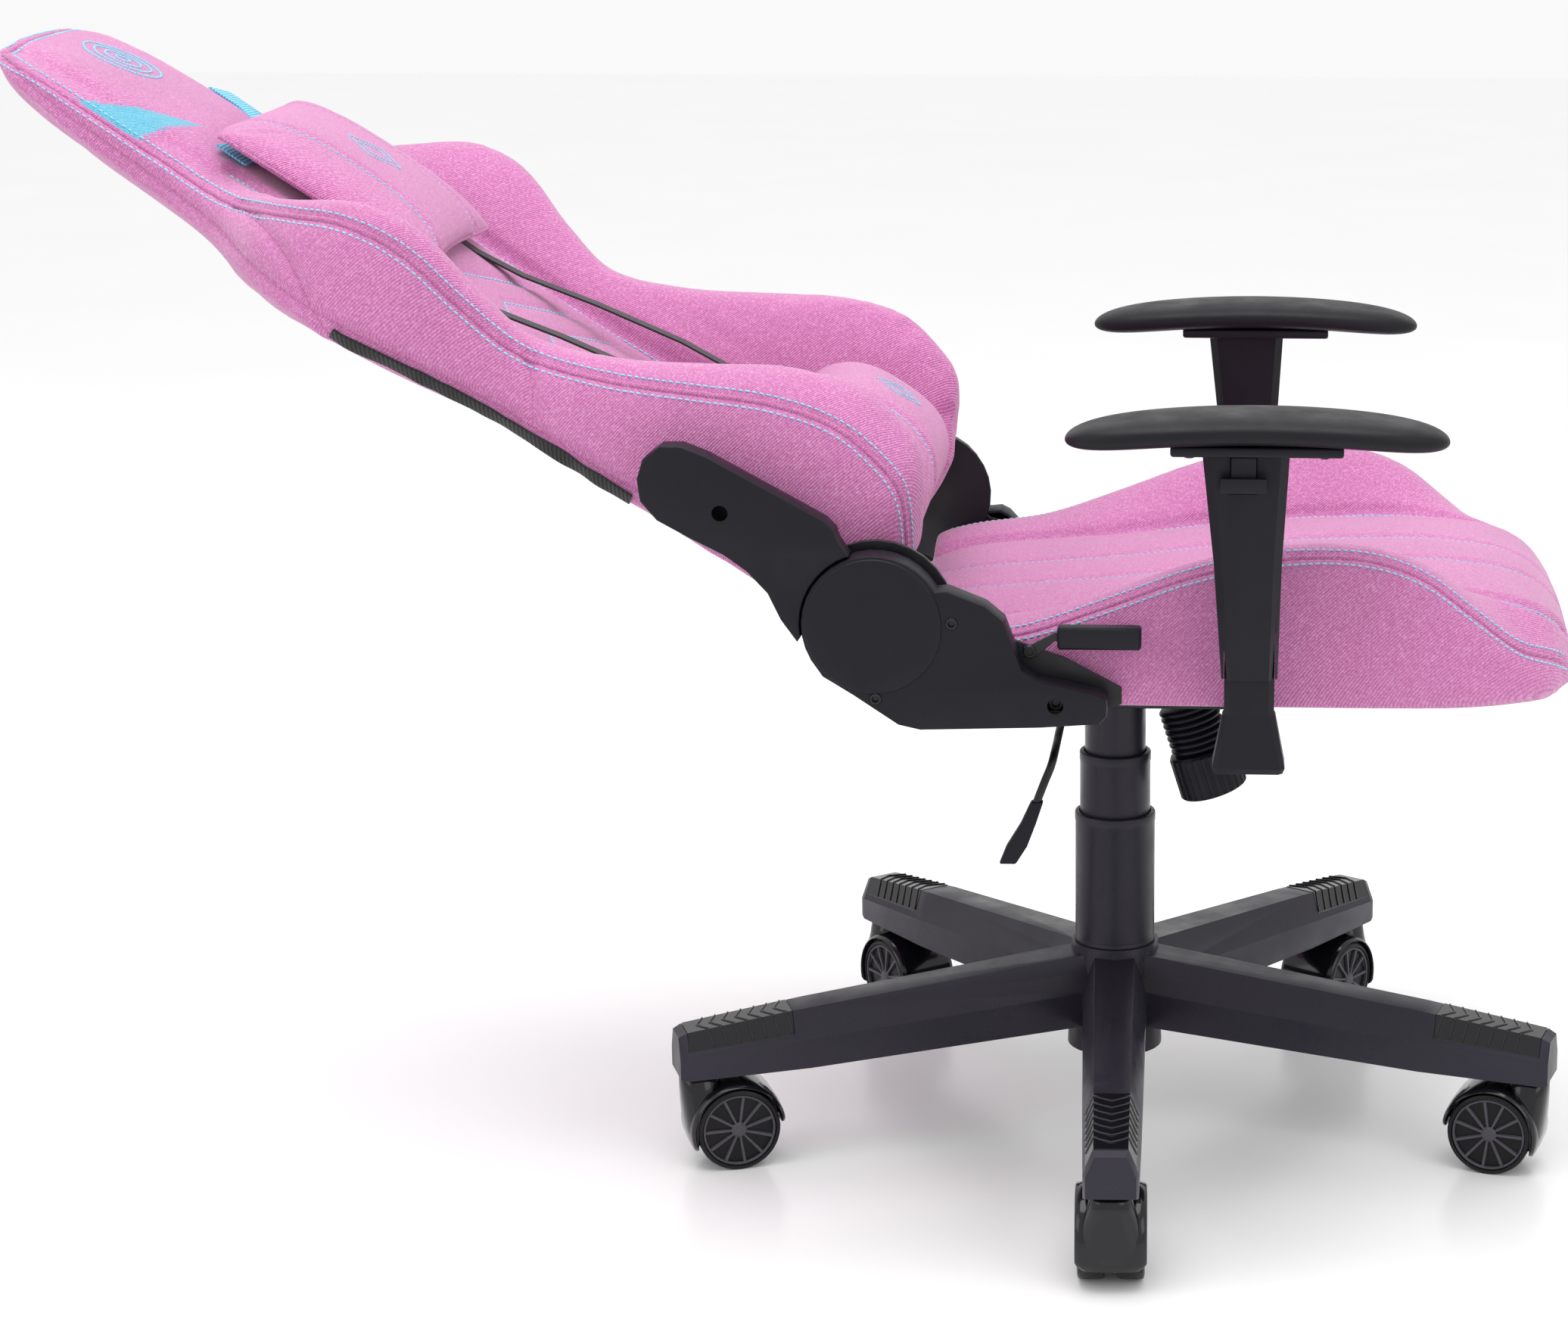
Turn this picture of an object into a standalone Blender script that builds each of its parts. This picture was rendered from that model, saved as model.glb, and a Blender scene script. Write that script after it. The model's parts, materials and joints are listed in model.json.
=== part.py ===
"""Gaming chair with a reclining bucket back, height-adjustable arms and a five-star caster base.

Metres, +Z up. The chair faces -Y and its right-hand side is -X. The floor is Z = 0.
The seat's swivel axis stands at SWIVEL, so that the whole chair's box is centred on the Z axis.
"""

from math import cos, pi, radians, sin

import bmesh
import bpy
from mathutils import Matrix, Vector

# ---------------------------------------------------------------- driving dimensions
SWIVEL = (0.0258, -0.2396)      # the swivel axis in the row frame
GAP = 0.0004                    # between pieces that touch

BASE_RADIUS = 0.350             # swivel axis to the end of a leg
LEGS = 5
BASE_TURN = 0.0276              # the base stands turned by this about its axis
LEG_TIP_WIDTH = 0.0387
LEG_HUB_WIDTH = 0.050
HUB_RADIUS = 0.034
HUB_TOP = 0.1490

WHEEL_RADIUS = 0.032
WHEEL_SIDES = 24
WHEEL_WIDTH = 0.0195            # one wheel of the pair
WHEEL_OFFSET = 0.0045           # caster's middle plane to a wheel's inner face
CASTER_TRAIL = 0.026            # stem axis to wheel axis
STEM_AT = 0.333                 # swivel axis to a caster's stem axis
LEG_UNDERSIDE = 0.0740

COVER_RADII = (0.0313, 0.0277, 0.0240)      # outer, middle and inner telescopic covers
COVER_WALL = 0.0016
TUBE_RADIUS = 0.0205            # gas lift's stand tube
CYLINDER_RADIUS = 0.0140        # gas lift's cylinder
HOUSING_FLOOR = 0.338           # underside of the tilt mechanism

TILT_AXIS = (-0.030, 0.366)     # Y and Z of the rocking axis
SEAT_BOTTOM = 0.3885
SEAT_HALF_WIDTH = 0.208
SEAT_REAR = 0.150
SEAT_NOSE = -0.337

ARM_X = 0.250                   # middle plane of an armrest
ARM_Y = -0.102
POST_SIZE = (0.0220, 0.0350)    # the post across X and Y
SLEEVE_BOTTOM = 0.427
PAD_LENGTH = 0.264
PAD_WIDTH = 0.082

HINGE = (0.1615, 0.4585)        # Y and Z of the recline axis
RECLINE = radians(56.7)         # lean of the back from upright, at rest
DISC_RADIUS = {"right": 0.0495, "left": 0.0455}      # the lever stands on the right
PLATE_X = 0.2120                # inner face of the back's steel arms
PLATE_THICKNESS = 0.0040
COVER_X = 0.2215                # inner face of the plastic covers
COVER_DEPTH = 0.0245

KNOB_LEAN = radians(17.8)
FABRIC_PINK = (0.72, 0.20, 0.48)


# ---------------------------------------------------------------- scene and materials
def clear_scene():
    for obj in list(bpy.data.objects):
        bpy.data.objects.remove(obj, do_unlink=True)


def collection(name, helper=False):
    made = bpy.data.collections.new(name)
    bpy.context.scene.collection.children.link(made)
    made.hide_render = helper
    return made


def material(name, colour, roughness, metallic=0.0):
    made = bpy.data.materials.new(name)
    made.use_nodes = True
    shader = made.node_tree.nodes["Principled BSDF"]
    shader.inputs["Base Color"].default_value = (*colour, 1)
    shader.inputs["Roughness"].default_value = roughness
    shader.inputs["Metallic"].default_value = metallic
    made.diffuse_color = (*colour, 1)
    return made


clear_scene()
CHAIR = collection("gaming_chair")
CUTTERS = collection("cutters", helper=True)

FINISHES = {
    "fabric": (FABRIC_PINK, 0.85, 0.0),
    "plastic": ((0.030, 0.030, 0.033), 0.55, 0.0),
    "nylon": ((0.055, 0.052, 0.060), 0.38, 0.0),
    "gloss": ((0.012, 0.012, 0.013), 0.12, 0.0),
    "tyre": ((0.020, 0.020, 0.020), 0.45, 0.0),
    "black_steel": ((0.020, 0.020, 0.022), 0.40, 0.6),
    "chrome": ((0.70, 0.70, 0.72), 0.15, 1.0),
    "plywood": ((0.55, 0.40, 0.25), 0.70, 0.0),
    "webbing": ((0.015, 0.015, 0.015), 0.80, 0.0),
    "blue_webbing": ((0.16, 0.52, 0.78), 0.75, 0.0),
    "pad": ((0.035, 0.035, 0.037), 0.60, 0.0),
}


def empty(name, at, parent=None, turn=(0, 0, 0)):
    made = bpy.data.objects.new(name, None)
    CHAIR.objects.link(made)
    made.empty_display_size = 0.04
    made.parent = parent
    made.location = at
    made.rotation_euler = turn
    return made


def adopt(obj, name, finish, parent, own_frame=False):
    """Names an object, gives it its own material and hangs it, with its cutters, under its parent empty.

    A shape is modelled in the chair's frame, or in its parent's where own_frame is set.
    """
    obj.name = name
    obj.data.name = name
    obj.data.materials.clear()
    obj.data.materials.append(material(name, *FINISHES[finish]))
    hang(obj, parent, own_frame)
    return obj


def hang(obj, parent, own_frame):
    bpy.context.view_layer.update()
    obj.parent = parent
    if not own_frame:
        obj.matrix_parent_inverse = parent.matrix_world.inverted() @ row_frame.matrix_world
    for step in obj.modifiers:
        if step.type == "BOOLEAN" and step.object.parent is None:
            hang(step.object, parent, own_frame)


def new_object(name, mesh, helper=False):
    made = bpy.data.objects.new(name, mesh)
    (CUTTERS if helper else CHAIR).objects.link(made)
    if helper:
        made.hide_render = True
        made.display_type = "WIRE"
    return made


def from_bmesh(name, bm, helper=False):
    bmesh.ops.recalc_face_normals(bm, faces=bm.faces)
    mesh = bpy.data.meshes.new(name)
    bm.to_mesh(mesh)
    bm.free()
    return new_object(name, mesh, helper)


# ---------------------------------------------------------------- shapes
def box(name, low, high, helper=False, round_by=0.0):
    """A box between two corners, with all its edges rounded where round_by is given."""
    bm = bmesh.new()
    size = [b - a for a, b in zip(low, high)]
    middle = [(a + b) / 2 for a, b in zip(low, high)]
    bmesh.ops.create_cube(bm, size=1, matrix=Matrix.Translation(middle) @ Matrix.Diagonal((*size, 1)))
    if round_by:
        bmesh.ops.bevel(bm, geom=bm.edges[:], offset=round_by, segments=2, affect="EDGES", profile=0.5)
    return from_bmesh(name, bm, helper)


def cylinder(name, radius, start, end, sides=24, helper=False, end_radius=None):
    """A cylinder or cone from one point to another, with a flat side facing down where it lies level."""
    start, end = Vector(start), Vector(end)
    run = end - start
    bm = bmesh.new()
    turn = run.to_track_quat("Z", "Y").to_matrix().to_4x4()
    half_side = Matrix.Rotation(pi / sides, 4, "Z")
    bmesh.ops.create_cone(
        bm, cap_ends=True, segments=sides, radius1=radius,
        radius2=radius if end_radius is None else end_radius, depth=run.length,
        matrix=Matrix.Translation((start + end) / 2) @ turn @ half_side,
    )
    return from_bmesh(name, bm, helper)


def turned(name, profile, steps=24, helper=False):
    """A turned solid from (radius, z) points that run down its outer side and back up its bore."""
    bm = bmesh.new()
    points = [bm.verts.new((radius, 0, z)) for radius, z in profile]
    closed = profile[0][0] > 0 or profile[-1][0] > 0
    for a, b in zip(points, points[1:] + points[:1] if closed else points[1:]):
        bm.edges.new((a, b))
    mesh = bpy.data.meshes.new(name)
    bm.to_mesh(mesh)
    bm.free()
    made = new_object(name, mesh, helper)
    screw = made.modifiers.new("turn", "SCREW")
    screw.steps = screw.render_steps = steps
    screw.use_merge_vertices = True
    screw.merge_threshold = 0.00001
    screw.use_smooth_shade = True
    return made


def mesh_of(obj):
    """Replaces an object and its modifiers by the plain mesh that they give, with its loose caps welded."""
    bpy.context.view_layer.update()
    graph = bpy.context.evaluated_depsgraph_get()
    mesh = bpy.data.meshes.new_from_object(obj.evaluated_get(graph))
    bm = bmesh.new()
    bm.from_mesh(mesh)
    bmesh.ops.remove_doubles(bm, verts=bm.verts, dist=0.00001)
    bm.to_mesh(mesh)
    bm.free()
    made = new_object(obj.name, mesh, obj.hide_render)
    made.matrix_world = obj.matrix_world
    bpy.data.objects.remove(obj, do_unlink=True)
    return made


def plate(name, outlines, low, high, inset=0.0, helper=False, round_by=0.0):
    """A flat plate across X: closed outlines of (y, z) points, thick from x = low to x = high."""
    curve = bpy.data.curves.new(name, "CURVE")
    curve.dimensions = "2D"
    curve.fill_mode = "BOTH"
    curve.extrude = abs(high - low) / 2 - round_by
    curve.bevel_depth = round_by
    curve.bevel_resolution = 1
    curve.offset = -inset - round_by
    for outline in outlines:
        spline = curve.splines.new("POLY")
        spline.points.add(len(outline) - 1)
        for point, (y, z) in zip(spline.points, outline):
            point.co = (y, z, 0, 1)
        spline.use_cyclic_u = True
    made = new_object(name, curve, helper)
    made.matrix_world = Matrix(((0, 0, 1, (low + high) / 2), (1, 0, 0, 0), (0, 1, 0, 0), (0, 0, 0, 1)))
    return mesh_of(made)


def tube(name, points, radius, cyclic=False, kind="POLY"):
    curve = bpy.data.curves.new(name, "CURVE")
    curve.dimensions = "3D"
    curve.bevel_depth = radius
    curve.bevel_resolution = 2
    curve.use_fill_caps = True
    spline = curve.splines.new(kind)
    spline.points.add(len(points) - 1)
    for point, at in zip(spline.points, points):
        point.co = (*at, 1)
    spline.use_cyclic_u = cyclic
    return new_object(name, curve)


def loft(name, rings, helper=False, levels=0):
    """A closed solid through rings that have the same number of points, with flat ends."""
    bm = bmesh.new()
    rows = [[bm.verts.new(point) for point in ring] for ring in rings]
    count = len(rows[0])
    for lower, upper in zip(rows, rows[1:]):
        for i in range(count):
            j = (i + 1) % count
            bm.faces.new((lower[i], lower[j], upper[j], upper[i]))
    bm.faces.new(rows[0])
    bm.faces.new(rows[-1])
    if not levels:      # its quads are twisted, and a Boolean needs flat faces
        bmesh.ops.triangulate(bm, faces=bm.faces[:])
    made = from_bmesh(name, bm, helper)
    if levels:
        soften = made.modifiers.new("soften", "SUBSURF")
        soften.levels = soften.render_levels = levels
    return made


def ribbon(name, path, width, thickness):
    """A flat strap along (x, y, z) points, as wide in the X-Z plane as width, and thick along Y."""
    bm = bmesh.new()
    rows = []
    for i, point in enumerate(path):
        before, after = Vector(path[max(i - 1, 0)]), Vector(path[min(i + 1, len(path) - 1)])
        along = (after - before).normalized()
        across = along.cross(Vector((0, 1, 0))).normalized() * width / 2
        rows.append([bm.verts.new(Vector(point) - across), bm.verts.new(Vector(point) + across)])
    for (a, b), (c, d) in zip(rows, rows[1:]):
        bm.faces.new((a, b, d, c))
    made = from_bmesh(name, bm)
    solid = made.modifiers.new("thickness", "SOLIDIFY")
    solid.thickness = thickness
    solid.offset = 0
    return made


def combine(obj, other, operation):
    step = obj.modifiers.new(operation.lower(), "BOOLEAN")
    step.object = other
    step.operation = operation
    step.solver = "EXACT"
    return obj


def cut(obj, *others):
    for other in others:
        combine(obj, other, "DIFFERENCE")
    return obj


def join(obj, *others):
    for other in others:
        combine(obj, other, "UNION")
    return obj


def arc(centre, radius, start, end, steps):
    """(y, z) points on a circle, from one angle to another in degrees, measured from +Y towards +Z."""
    angles = [radians(start + (end - start) * i / steps) for i in range(steps + 1)]
    return [(centre[0] + radius * cos(a), centre[1] + radius * sin(a)) for a in angles]


def between(stations, at):
    """Values at a place along a list of (place, value, value...) stations, straight from one to the next."""
    for low, high in zip(stations, stations[1:]):
        if at <= high[0]:
            break
    part = min(max((at - low[0]) / (high[0] - low[0]), 0), 1)
    return [a + (b - a) * part for a, b in zip(low[1:], high[1:])]


# ---------------------------------------------------------------- axes of motion
row_frame = empty("row_frame", (*SWIVEL, 0))
base = empty("base_axis", (0, 0, 0), row_frame)
seat = empty("tilt_axis", (0, *TILT_AXIS), row_frame)
back = empty("recline_axis", (0, *HINGE), row_frame, (-RECLINE, 0, 0))


# ---------------------------------------------------------------- five-star base
LEG_STATIONS = (                # distance from the axis: width, underside, top
    (0.012, LEG_HUB_WIDTH, 0.0880, 0.1440),
    (0.250, 0.0430, 0.0755, 0.1215),
    (0.344, 0.0395, LEG_UNDERSIDE, 0.1100),
    (BASE_RADIUS, LEG_TIP_WIDTH - 0.003, LEG_UNDERSIDE + 0.0015, 0.1070),
)
PAD_FROM, PAD_TO = 0.262, 0.343
SHOULDER = 0.50                 # height of a leg's upright side, as a part of its depth
RIDGE = 0.62                    # width of a leg's flat top, as a part of its width


def leg_side(at, lower=0.0, from_part=0.0):
    """The sloping top of a leg: four (across, up) points from its left shoulder to its right."""
    width, under, top = between(LEG_STATIONS, at)
    shoulder = under + (top - under) * SHOULDER
    outer, inner = width / 2, width / 2 * RIDGE
    edge = outer + (inner - outer) * from_part
    up = shoulder + (top - shoulder) * from_part
    return [(-edge, up - lower), (-inner, top - lower), (inner, top - lower), (edge, up - lower)]


def leg_ring(at):
    width, under, _ = between(LEG_STATIONS, at)
    return [(at, y, z) for y, z in [*leg_side(at), (width / 2, under), (-width / 2, under)]]


def insert_ring(at, above, below):
    over = [(at, y, z) for y, z in leg_side(at, -above, 0.25)]
    under = [(at, y, z) for y, z in leg_side(at, below, 0.25)]
    return over + under[::-1]


def about_axis(obj, angle):
    obj.rotation_euler = (0, 0, angle)
    return obj


def leg_angle(i):
    return pi + 2 * pi * i / LEGS + BASE_TURN


def star_base():
    """Hub and five legs, channelled below, with a stem socket and a footrest recess in each."""
    hub = cylinder("star_base", HUB_RADIUS + 0.003, (0, 0, 0.064), (0, 0, HUB_TOP), 30, end_radius=HUB_RADIUS)
    bore = cylinder("hub_bore", TUBE_RADIUS + GAP, (0, 0, 0.02), (0, 0, 0.20), helper=True)
    tools = []
    for i in range(LEGS):
        stations = [row[0] for row in LEG_STATIONS]
        leg = loft(f"leg_{i}", [leg_ring(at) for at in stations], helper=True)
        join(hub, about_axis(leg, leg_angle(i)))
        channel = loft(f"channel_{i}", [
            [(at, -half, 0.05), (at, half, 0.05), (at, half * 0.8, roof), (at, -half * 0.8, roof)]
            for at, half, roof in ((0.050, 0.018, 0.118), (0.300, 0.0150, 0.098))
        ], helper=True)
        recess = loft(f"recess_{i}", [
            insert_ring(at, 0.006, 0.0016) for at in (PAD_FROM - GAP, PAD_TO + GAP)], helper=True)
        socket = cylinder(f"socket_{i}", 0.0056, (STEM_AT, 0, 0.05), (STEM_AT, 0, 0.0985), 12, helper=True)
        tools += [about_axis(tool, leg_angle(i)) for tool in (channel, recess, socket)]
    cut(hub, *tools, bore)
    adopt(hub, "star_base", "nylon", base)


def footrest_inserts():
    for i in range(LEGS):
        insert = loft(f"insert_{i}", [insert_ring(at, 0.0004, 0.0012) for at in (PAD_FROM, PAD_TO)])
        adopt(about_axis(insert, leg_angle(i)), f"footrest_insert_{i + 1}", "gloss", base)


# ---------------------------------------------------------------- casters
def hood_mesh():
    """A caster's hood and stem: the stem stands on the origin and the wheels trail along -X."""
    half = WHEEL_OFFSET + WHEEL_WIDTH + 0.0012
    outer, inner = WHEEL_RADIUS + 0.0048, WHEEL_RADIUS + 0.0026
    axle_at = (-CASTER_TRAIL, WHEEL_RADIUS)
    hood = cylinder("hood", outer, (axle_at[0], -half, axle_at[1]), (axle_at[0], half, axle_at[1]), 28)
    tools = []
    for side in (-1, 1):
        start, end = side * (WHEEL_OFFSET - 0.0006), side * (half + 0.01)
        tools.append(cylinder(f"well_{side}", inner, (axle_at[0], start, axle_at[1]),
                              (axle_at[0], end, axle_at[1]), 28, helper=True))
    below = box("below", (-0.12, -0.05, -0.02), (0.06, 0.05, axle_at[1] - 0.006), helper=True)
    below.rotation_euler = (0, radians(-9), 0)
    boss = cylinder("boss", 0.0152, (0, 0, 0.0400), (0, 0, LEG_UNDERSIDE - 0.0006), 20, helper=True)
    stem = cylinder("stem", 0.0050, (0, 0, 0.060), (0, 0, 0.0975), 12, helper=True)
    web = box("web", (-CASTER_TRAIL - 0.008, -WHEEL_OFFSET + 0.0006, 0.020),
              (-CASTER_TRAIL + 0.008, WHEEL_OFFSET - 0.0006, 0.050), helper=True)
    axle_hole = cylinder("axle_hole", 0.0036, (axle_at[0], -0.02, axle_at[1]),
                         (axle_at[0], 0.02, axle_at[1]), 12, helper=True)
    join(hood, boss)
    cut(hood, *tools, below)
    join(hood, stem, web)
    cut(hood, axle_hole)
    return mesh_of(hood)


def wheels_mesh():
    """Twin wheels on one axle, centred on the axle, which lies along Y."""
    inner, outer = WHEEL_OFFSET, WHEEL_OFFSET + WHEEL_WIDTH
    tread = WHEEL_RADIUS / cos(pi / WHEEL_SIDES)
    profile = [(0.0, outer - 0.001), (tread - 0.004, outer), (tread, outer - 0.004), (tread, inner),
               (0.0032, inner), (0.0032, -inner), (tread, -inner), (tread, -outer + 0.004),
               (tread - 0.004, -outer), (0.0, -outer + 0.001)]
    wheels = turned("wheels", profile, WHEEL_SIDES)
    wheels.rotation_euler = (radians(90), 0, pi)
    made = mesh_of(wheels)
    flat_down = Matrix.Rotation(pi / WHEEL_SIDES, 4, "Y")
    made.data.transform(flat_down @ made.matrix_basis.to_3x3().to_4x4())
    made.matrix_basis = Matrix.Identity(4)
    return made


def casters():
    hood, wheels = hood_mesh(), wheels_mesh()
    for i in range(LEGS):
        angle = leg_angle(i)
        stem_axis = empty(f"stem_axis_{i + 1}", (STEM_AT * cos(angle), STEM_AT * sin(angle), 0),
                          base, (0, 0, angle))
        roll_axis = empty(f"roll_axis_{i + 1}", (-CASTER_TRAIL, 0, WHEEL_RADIUS), stem_axis)
        for source, name, finish, axis in ((hood, "caster_hood", "gloss", stem_axis),
                                           (wheels, "caster_wheels", "tyre", roll_axis)):
            copy = source if i == 0 else new_object(name, source.data.copy())
            adopt(copy, f"{name}_{i + 1}", finish, axis, own_frame=True)


# ---------------------------------------------------------------- gas lift and its covers
def sleeve(name, radius, low, high, lip=0.0):
    """A thin tube with its top edge turned in by lip."""
    bore = radius - COVER_WALL
    return turned(name, [
        (radius - 0.0008, high), (radius, high - 0.0008), (radius, low), (bore, low),
        (bore, high - 0.003), (bore - lip, high - 0.002), (bore - lip, high),
    ], 28)


def column():
    outer, middle, inner = COVER_RADII
    lift = empty("lift_axis", (0, 0, HOUSING_FLOOR), row_frame)
    cover_axis = empty("middle_cover_axis", (0, 0, 0.25), row_frame)
    adopt(sleeve("outer", outer, HUB_TOP + GAP, 0.2535, outer - COVER_WALL - middle - 0.0005),
          "outer_cover", "nylon", base)
    adopt(sleeve("middle", middle, 0.2000, 0.3020, middle - COVER_WALL - inner - 0.0005),
          "middle_cover", "nylon", cover_axis)
    adopt(sleeve("inner", inner, 0.2480, HOUSING_FLOOR - GAP), "inner_cover", "nylon", lift)
    tube_bore, floor_hole = 0.0150, 0.0068
    adopt(turned("stand_tube", [
        (TUBE_RADIUS, 0.2350), (TUBE_RADIUS, 0.0640), (floor_hole, 0.0640), (floor_hole, 0.0680),
        (tube_bore, 0.0680), (tube_bore, 0.2350)]), "gas_stand_tube", "black_steel", base)
    rod = 0.0050
    swivel = empty("swivel_axis", (0, 0, 0), row_frame)
    adopt(turned("rod", [
        (0.0, 0.2620), (0.0112, 0.2620), (0.0112, 0.2520), (rod, 0.2520), (rod, 0.0560), (0.0, 0.0560)], 16),
        "piston_rod", "chrome", swivel)
    adopt(turned("bearing", [
        (0.0125, 0.0760), (0.0125, 0.0684), (rod + GAP, 0.0684), (rod + GAP, 0.0760)], 16),
        "thrust_bearing", "chrome", swivel)
    adopt(turned("clip", [
        (0.0095, 0.0635), (0.0095, 0.0615), (rod + GAP, 0.0615), (rod + GAP, 0.0635)], 16),
        "retaining_clip", "black_steel", swivel)
    adopt(turned("cylinder", [
        (0.0, 0.3600), (CYLINDER_RADIUS, 0.3600), (CYLINDER_RADIUS, 0.1650), (0.0117, 0.1650),
        (0.0117, 0.3500), (0.0, 0.3500)]), "gas_cylinder", "black_steel", lift)
    return lift


# ---------------------------------------------------------------- tilt mechanism
def knob_axis_point(along):
    """A point on the tension knob's axis, measured down it from the housing's underside."""
    return (0, -0.0555 - along * sin(KNOB_LEAN), HOUSING_FLOOR - along * cos(KNOB_LEAN))


def leaning(obj, at):
    obj.location = at
    obj.rotation_euler = (-KNOB_LEAN, 0, 0)
    return obj


def tilt_housing(lift):
    """A pressed tray with the taper socket, open above."""
    wall, rim = 0.003, 0.3620
    tray = box("housing", (-0.055, -0.120, HOUSING_FLOOR), (0.055, 0.034, rim), round_by=0.0015)
    hollow = box("housing_hollow", (-0.055 + wall, -0.120 + wall, HOUSING_FLOOR + wall),
                 (0.055 - wall, 0.034 - wall, rim + 0.01), helper=True)
    socket = cylinder("taper_socket", 0.020, (0, 0, HOUSING_FLOOR + 0.001), (0, 0, 0.3600), helper=True)
    bore = cylinder("taper_bore", CYLINDER_RADIUS + GAP, (0, 0, 0.30), (0, 0, 0.40), helper=True)
    ears = [box(f"ear_{side}", (side * 0.0535 - 0.0015, TILT_AXIS[0] - 0.012, 0.345),
                (side * 0.0535 + 0.0015, TILT_AXIS[0] + 0.012, TILT_AXIS[1] + 0.009), helper=True)
            for side in (-1, 1)]
    pin_hole = cylinder("pin_hole", 0.0056, (-0.08, *TILT_AXIS), (0.08, *TILT_AXIS), 16, helper=True)
    cut(tray, hollow)
    join(tray, socket, *ears)
    cut(tray, bore, pin_hole)
    adopt(tray, "tilt_housing", "black_steel", lift)
    ribs = 5
    pitch, crest, root = 0.0052, 0.0228, 0.0205
    profile = [(0.0, 0.0)]
    for i in range(ribs):
        profile += [(root, -pitch * i), (crest, -pitch * (i + 0.5))]
    profile += [(root, -pitch * ribs), (0.0, -pitch * ribs)]
    adopt(leaning(turned("bellows", profile, 18), knob_axis_point(0.0075)),
          "spring_bellows", "plastic", lift)


def tension_knob(lift):
    top = knob_axis_point(0.0345)
    axis = empty("knob_axis", (0, top[1], top[2] - HOUSING_FLOOR), lift, (-KNOB_LEAN, 0, 0))
    knob = turned("knob", [
        (0.0, 0.0), (0.0225, 0.0), (0.0262, -0.0025), (0.0266, -0.034), (0.0245, -0.0365), (0.0, -0.0365)], 24)
    adopt(knob, "tension_knob", "plastic", axis, own_frame=True)


def lift_lever(lift):
    """A bent wire out of the housing's right-hand side, with a flat moulded grip on its end."""
    axis = empty("lift_lever_axis", (-0.0570, 0.036, 0.3525 - HOUSING_FLOOR), lift)
    wire = tube("wire", [
        (-0.0570, 0.0360, 0.3525), (-0.190, 0.0372, 0.3525), (-0.1965, 0.0378, 0.3510),
        (-0.2000, 0.0390, 0.3465), (-0.2090, 0.0480, 0.3240)], 0.0030)
    adopt(wire, "lift_lever", "black_steel", axis)
    grip = loft("grip", [
        [(x + dx, y + dy, z) for dx, dy in ((-thick, -half), (thick, -half), (thick, half), (-thick, half))]
        for x, y, z, half, thick in (
            (-0.2095, 0.0485, 0.3225, 0.0045, 0.0040), (-0.2155, 0.0545, 0.3080, 0.0055, 0.0042),
            (-0.2230, 0.0625, 0.2930, 0.0075, 0.0040), (-0.2275, 0.0690, 0.2810, 0.0060, 0.0035))
    ])
    adopt(grip, "lift_lever_grip", "plastic", axis)


def tilt_plate():
    """A pressed plate above the housing, with side flanges that carry the pivot pins."""
    top = SEAT_BOTTOM - 0.0004
    outline = box("tilt_plate", (-0.0900, -0.1300, top - 0.0035), (0.0900, 0.0900, top), round_by=0.0012)
    for side in (-1, 1):
        flange = box(f"flange_{side}", (side * 0.0600 - 0.0015, TILT_AXIS[0] - 0.020, TILT_AXIS[1] - 0.010),
                     (side * 0.0600 + 0.0015, TILT_AXIS[0] + 0.020, top - 0.001), helper=True)
        pin = cylinder(f"pin_{side}", 0.0050, (side * 0.0480, *TILT_AXIS), (side * 0.0640, *TILT_AXIS),
                       16, helper=True)
        join(outline, flange, pin)
    adopt(outline, "tilt_plate", "black_steel", seat)


# ---------------------------------------------------------------- seat
SEAT_STATIONS = (               # Y: half width, bolster crest across, crest, valley across, panel
    (SEAT_REAR, 0.190, 0.152, 0.440, 0.118, 0.430),
    (0.120, 0.205, 0.168, 0.445, 0.130, 0.437),
    (0.060, SEAT_HALF_WIDTH, 0.176, 0.453, 0.132, 0.443),
    (0.000, SEAT_HALF_WIDTH, 0.178, 0.473, 0.132, 0.448),
    (-0.060, SEAT_HALF_WIDTH, 0.178, 0.495, 0.132, 0.455),
    (-0.120, SEAT_HALF_WIDTH, 0.178, 0.508, 0.132, 0.461),
    (-0.180, SEAT_HALF_WIDTH, 0.178, 0.509, 0.132, 0.464),
    (-0.225, 0.207, 0.176, 0.495, 0.132, 0.465),
    (-0.262, 0.203, 0.172, 0.467, 0.130, 0.463),
    (-0.296, 0.190, 0.162, 0.440, 0.132, 0.457),
    (-0.322, 0.168, 0.148, 0.432, 0.124, 0.444),
    (SEAT_NOSE, 0.138, 0.120, 0.418, 0.098, 0.425),
)
PAN_LOW, PAN_HIGH = (-0.180, -0.283), (0.180, 0.109)


def mirrored(half):
    """A closed ring from the (x, other) points of its right half."""
    return half + [(-x, other) for x, other in half[::-1]]


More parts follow.
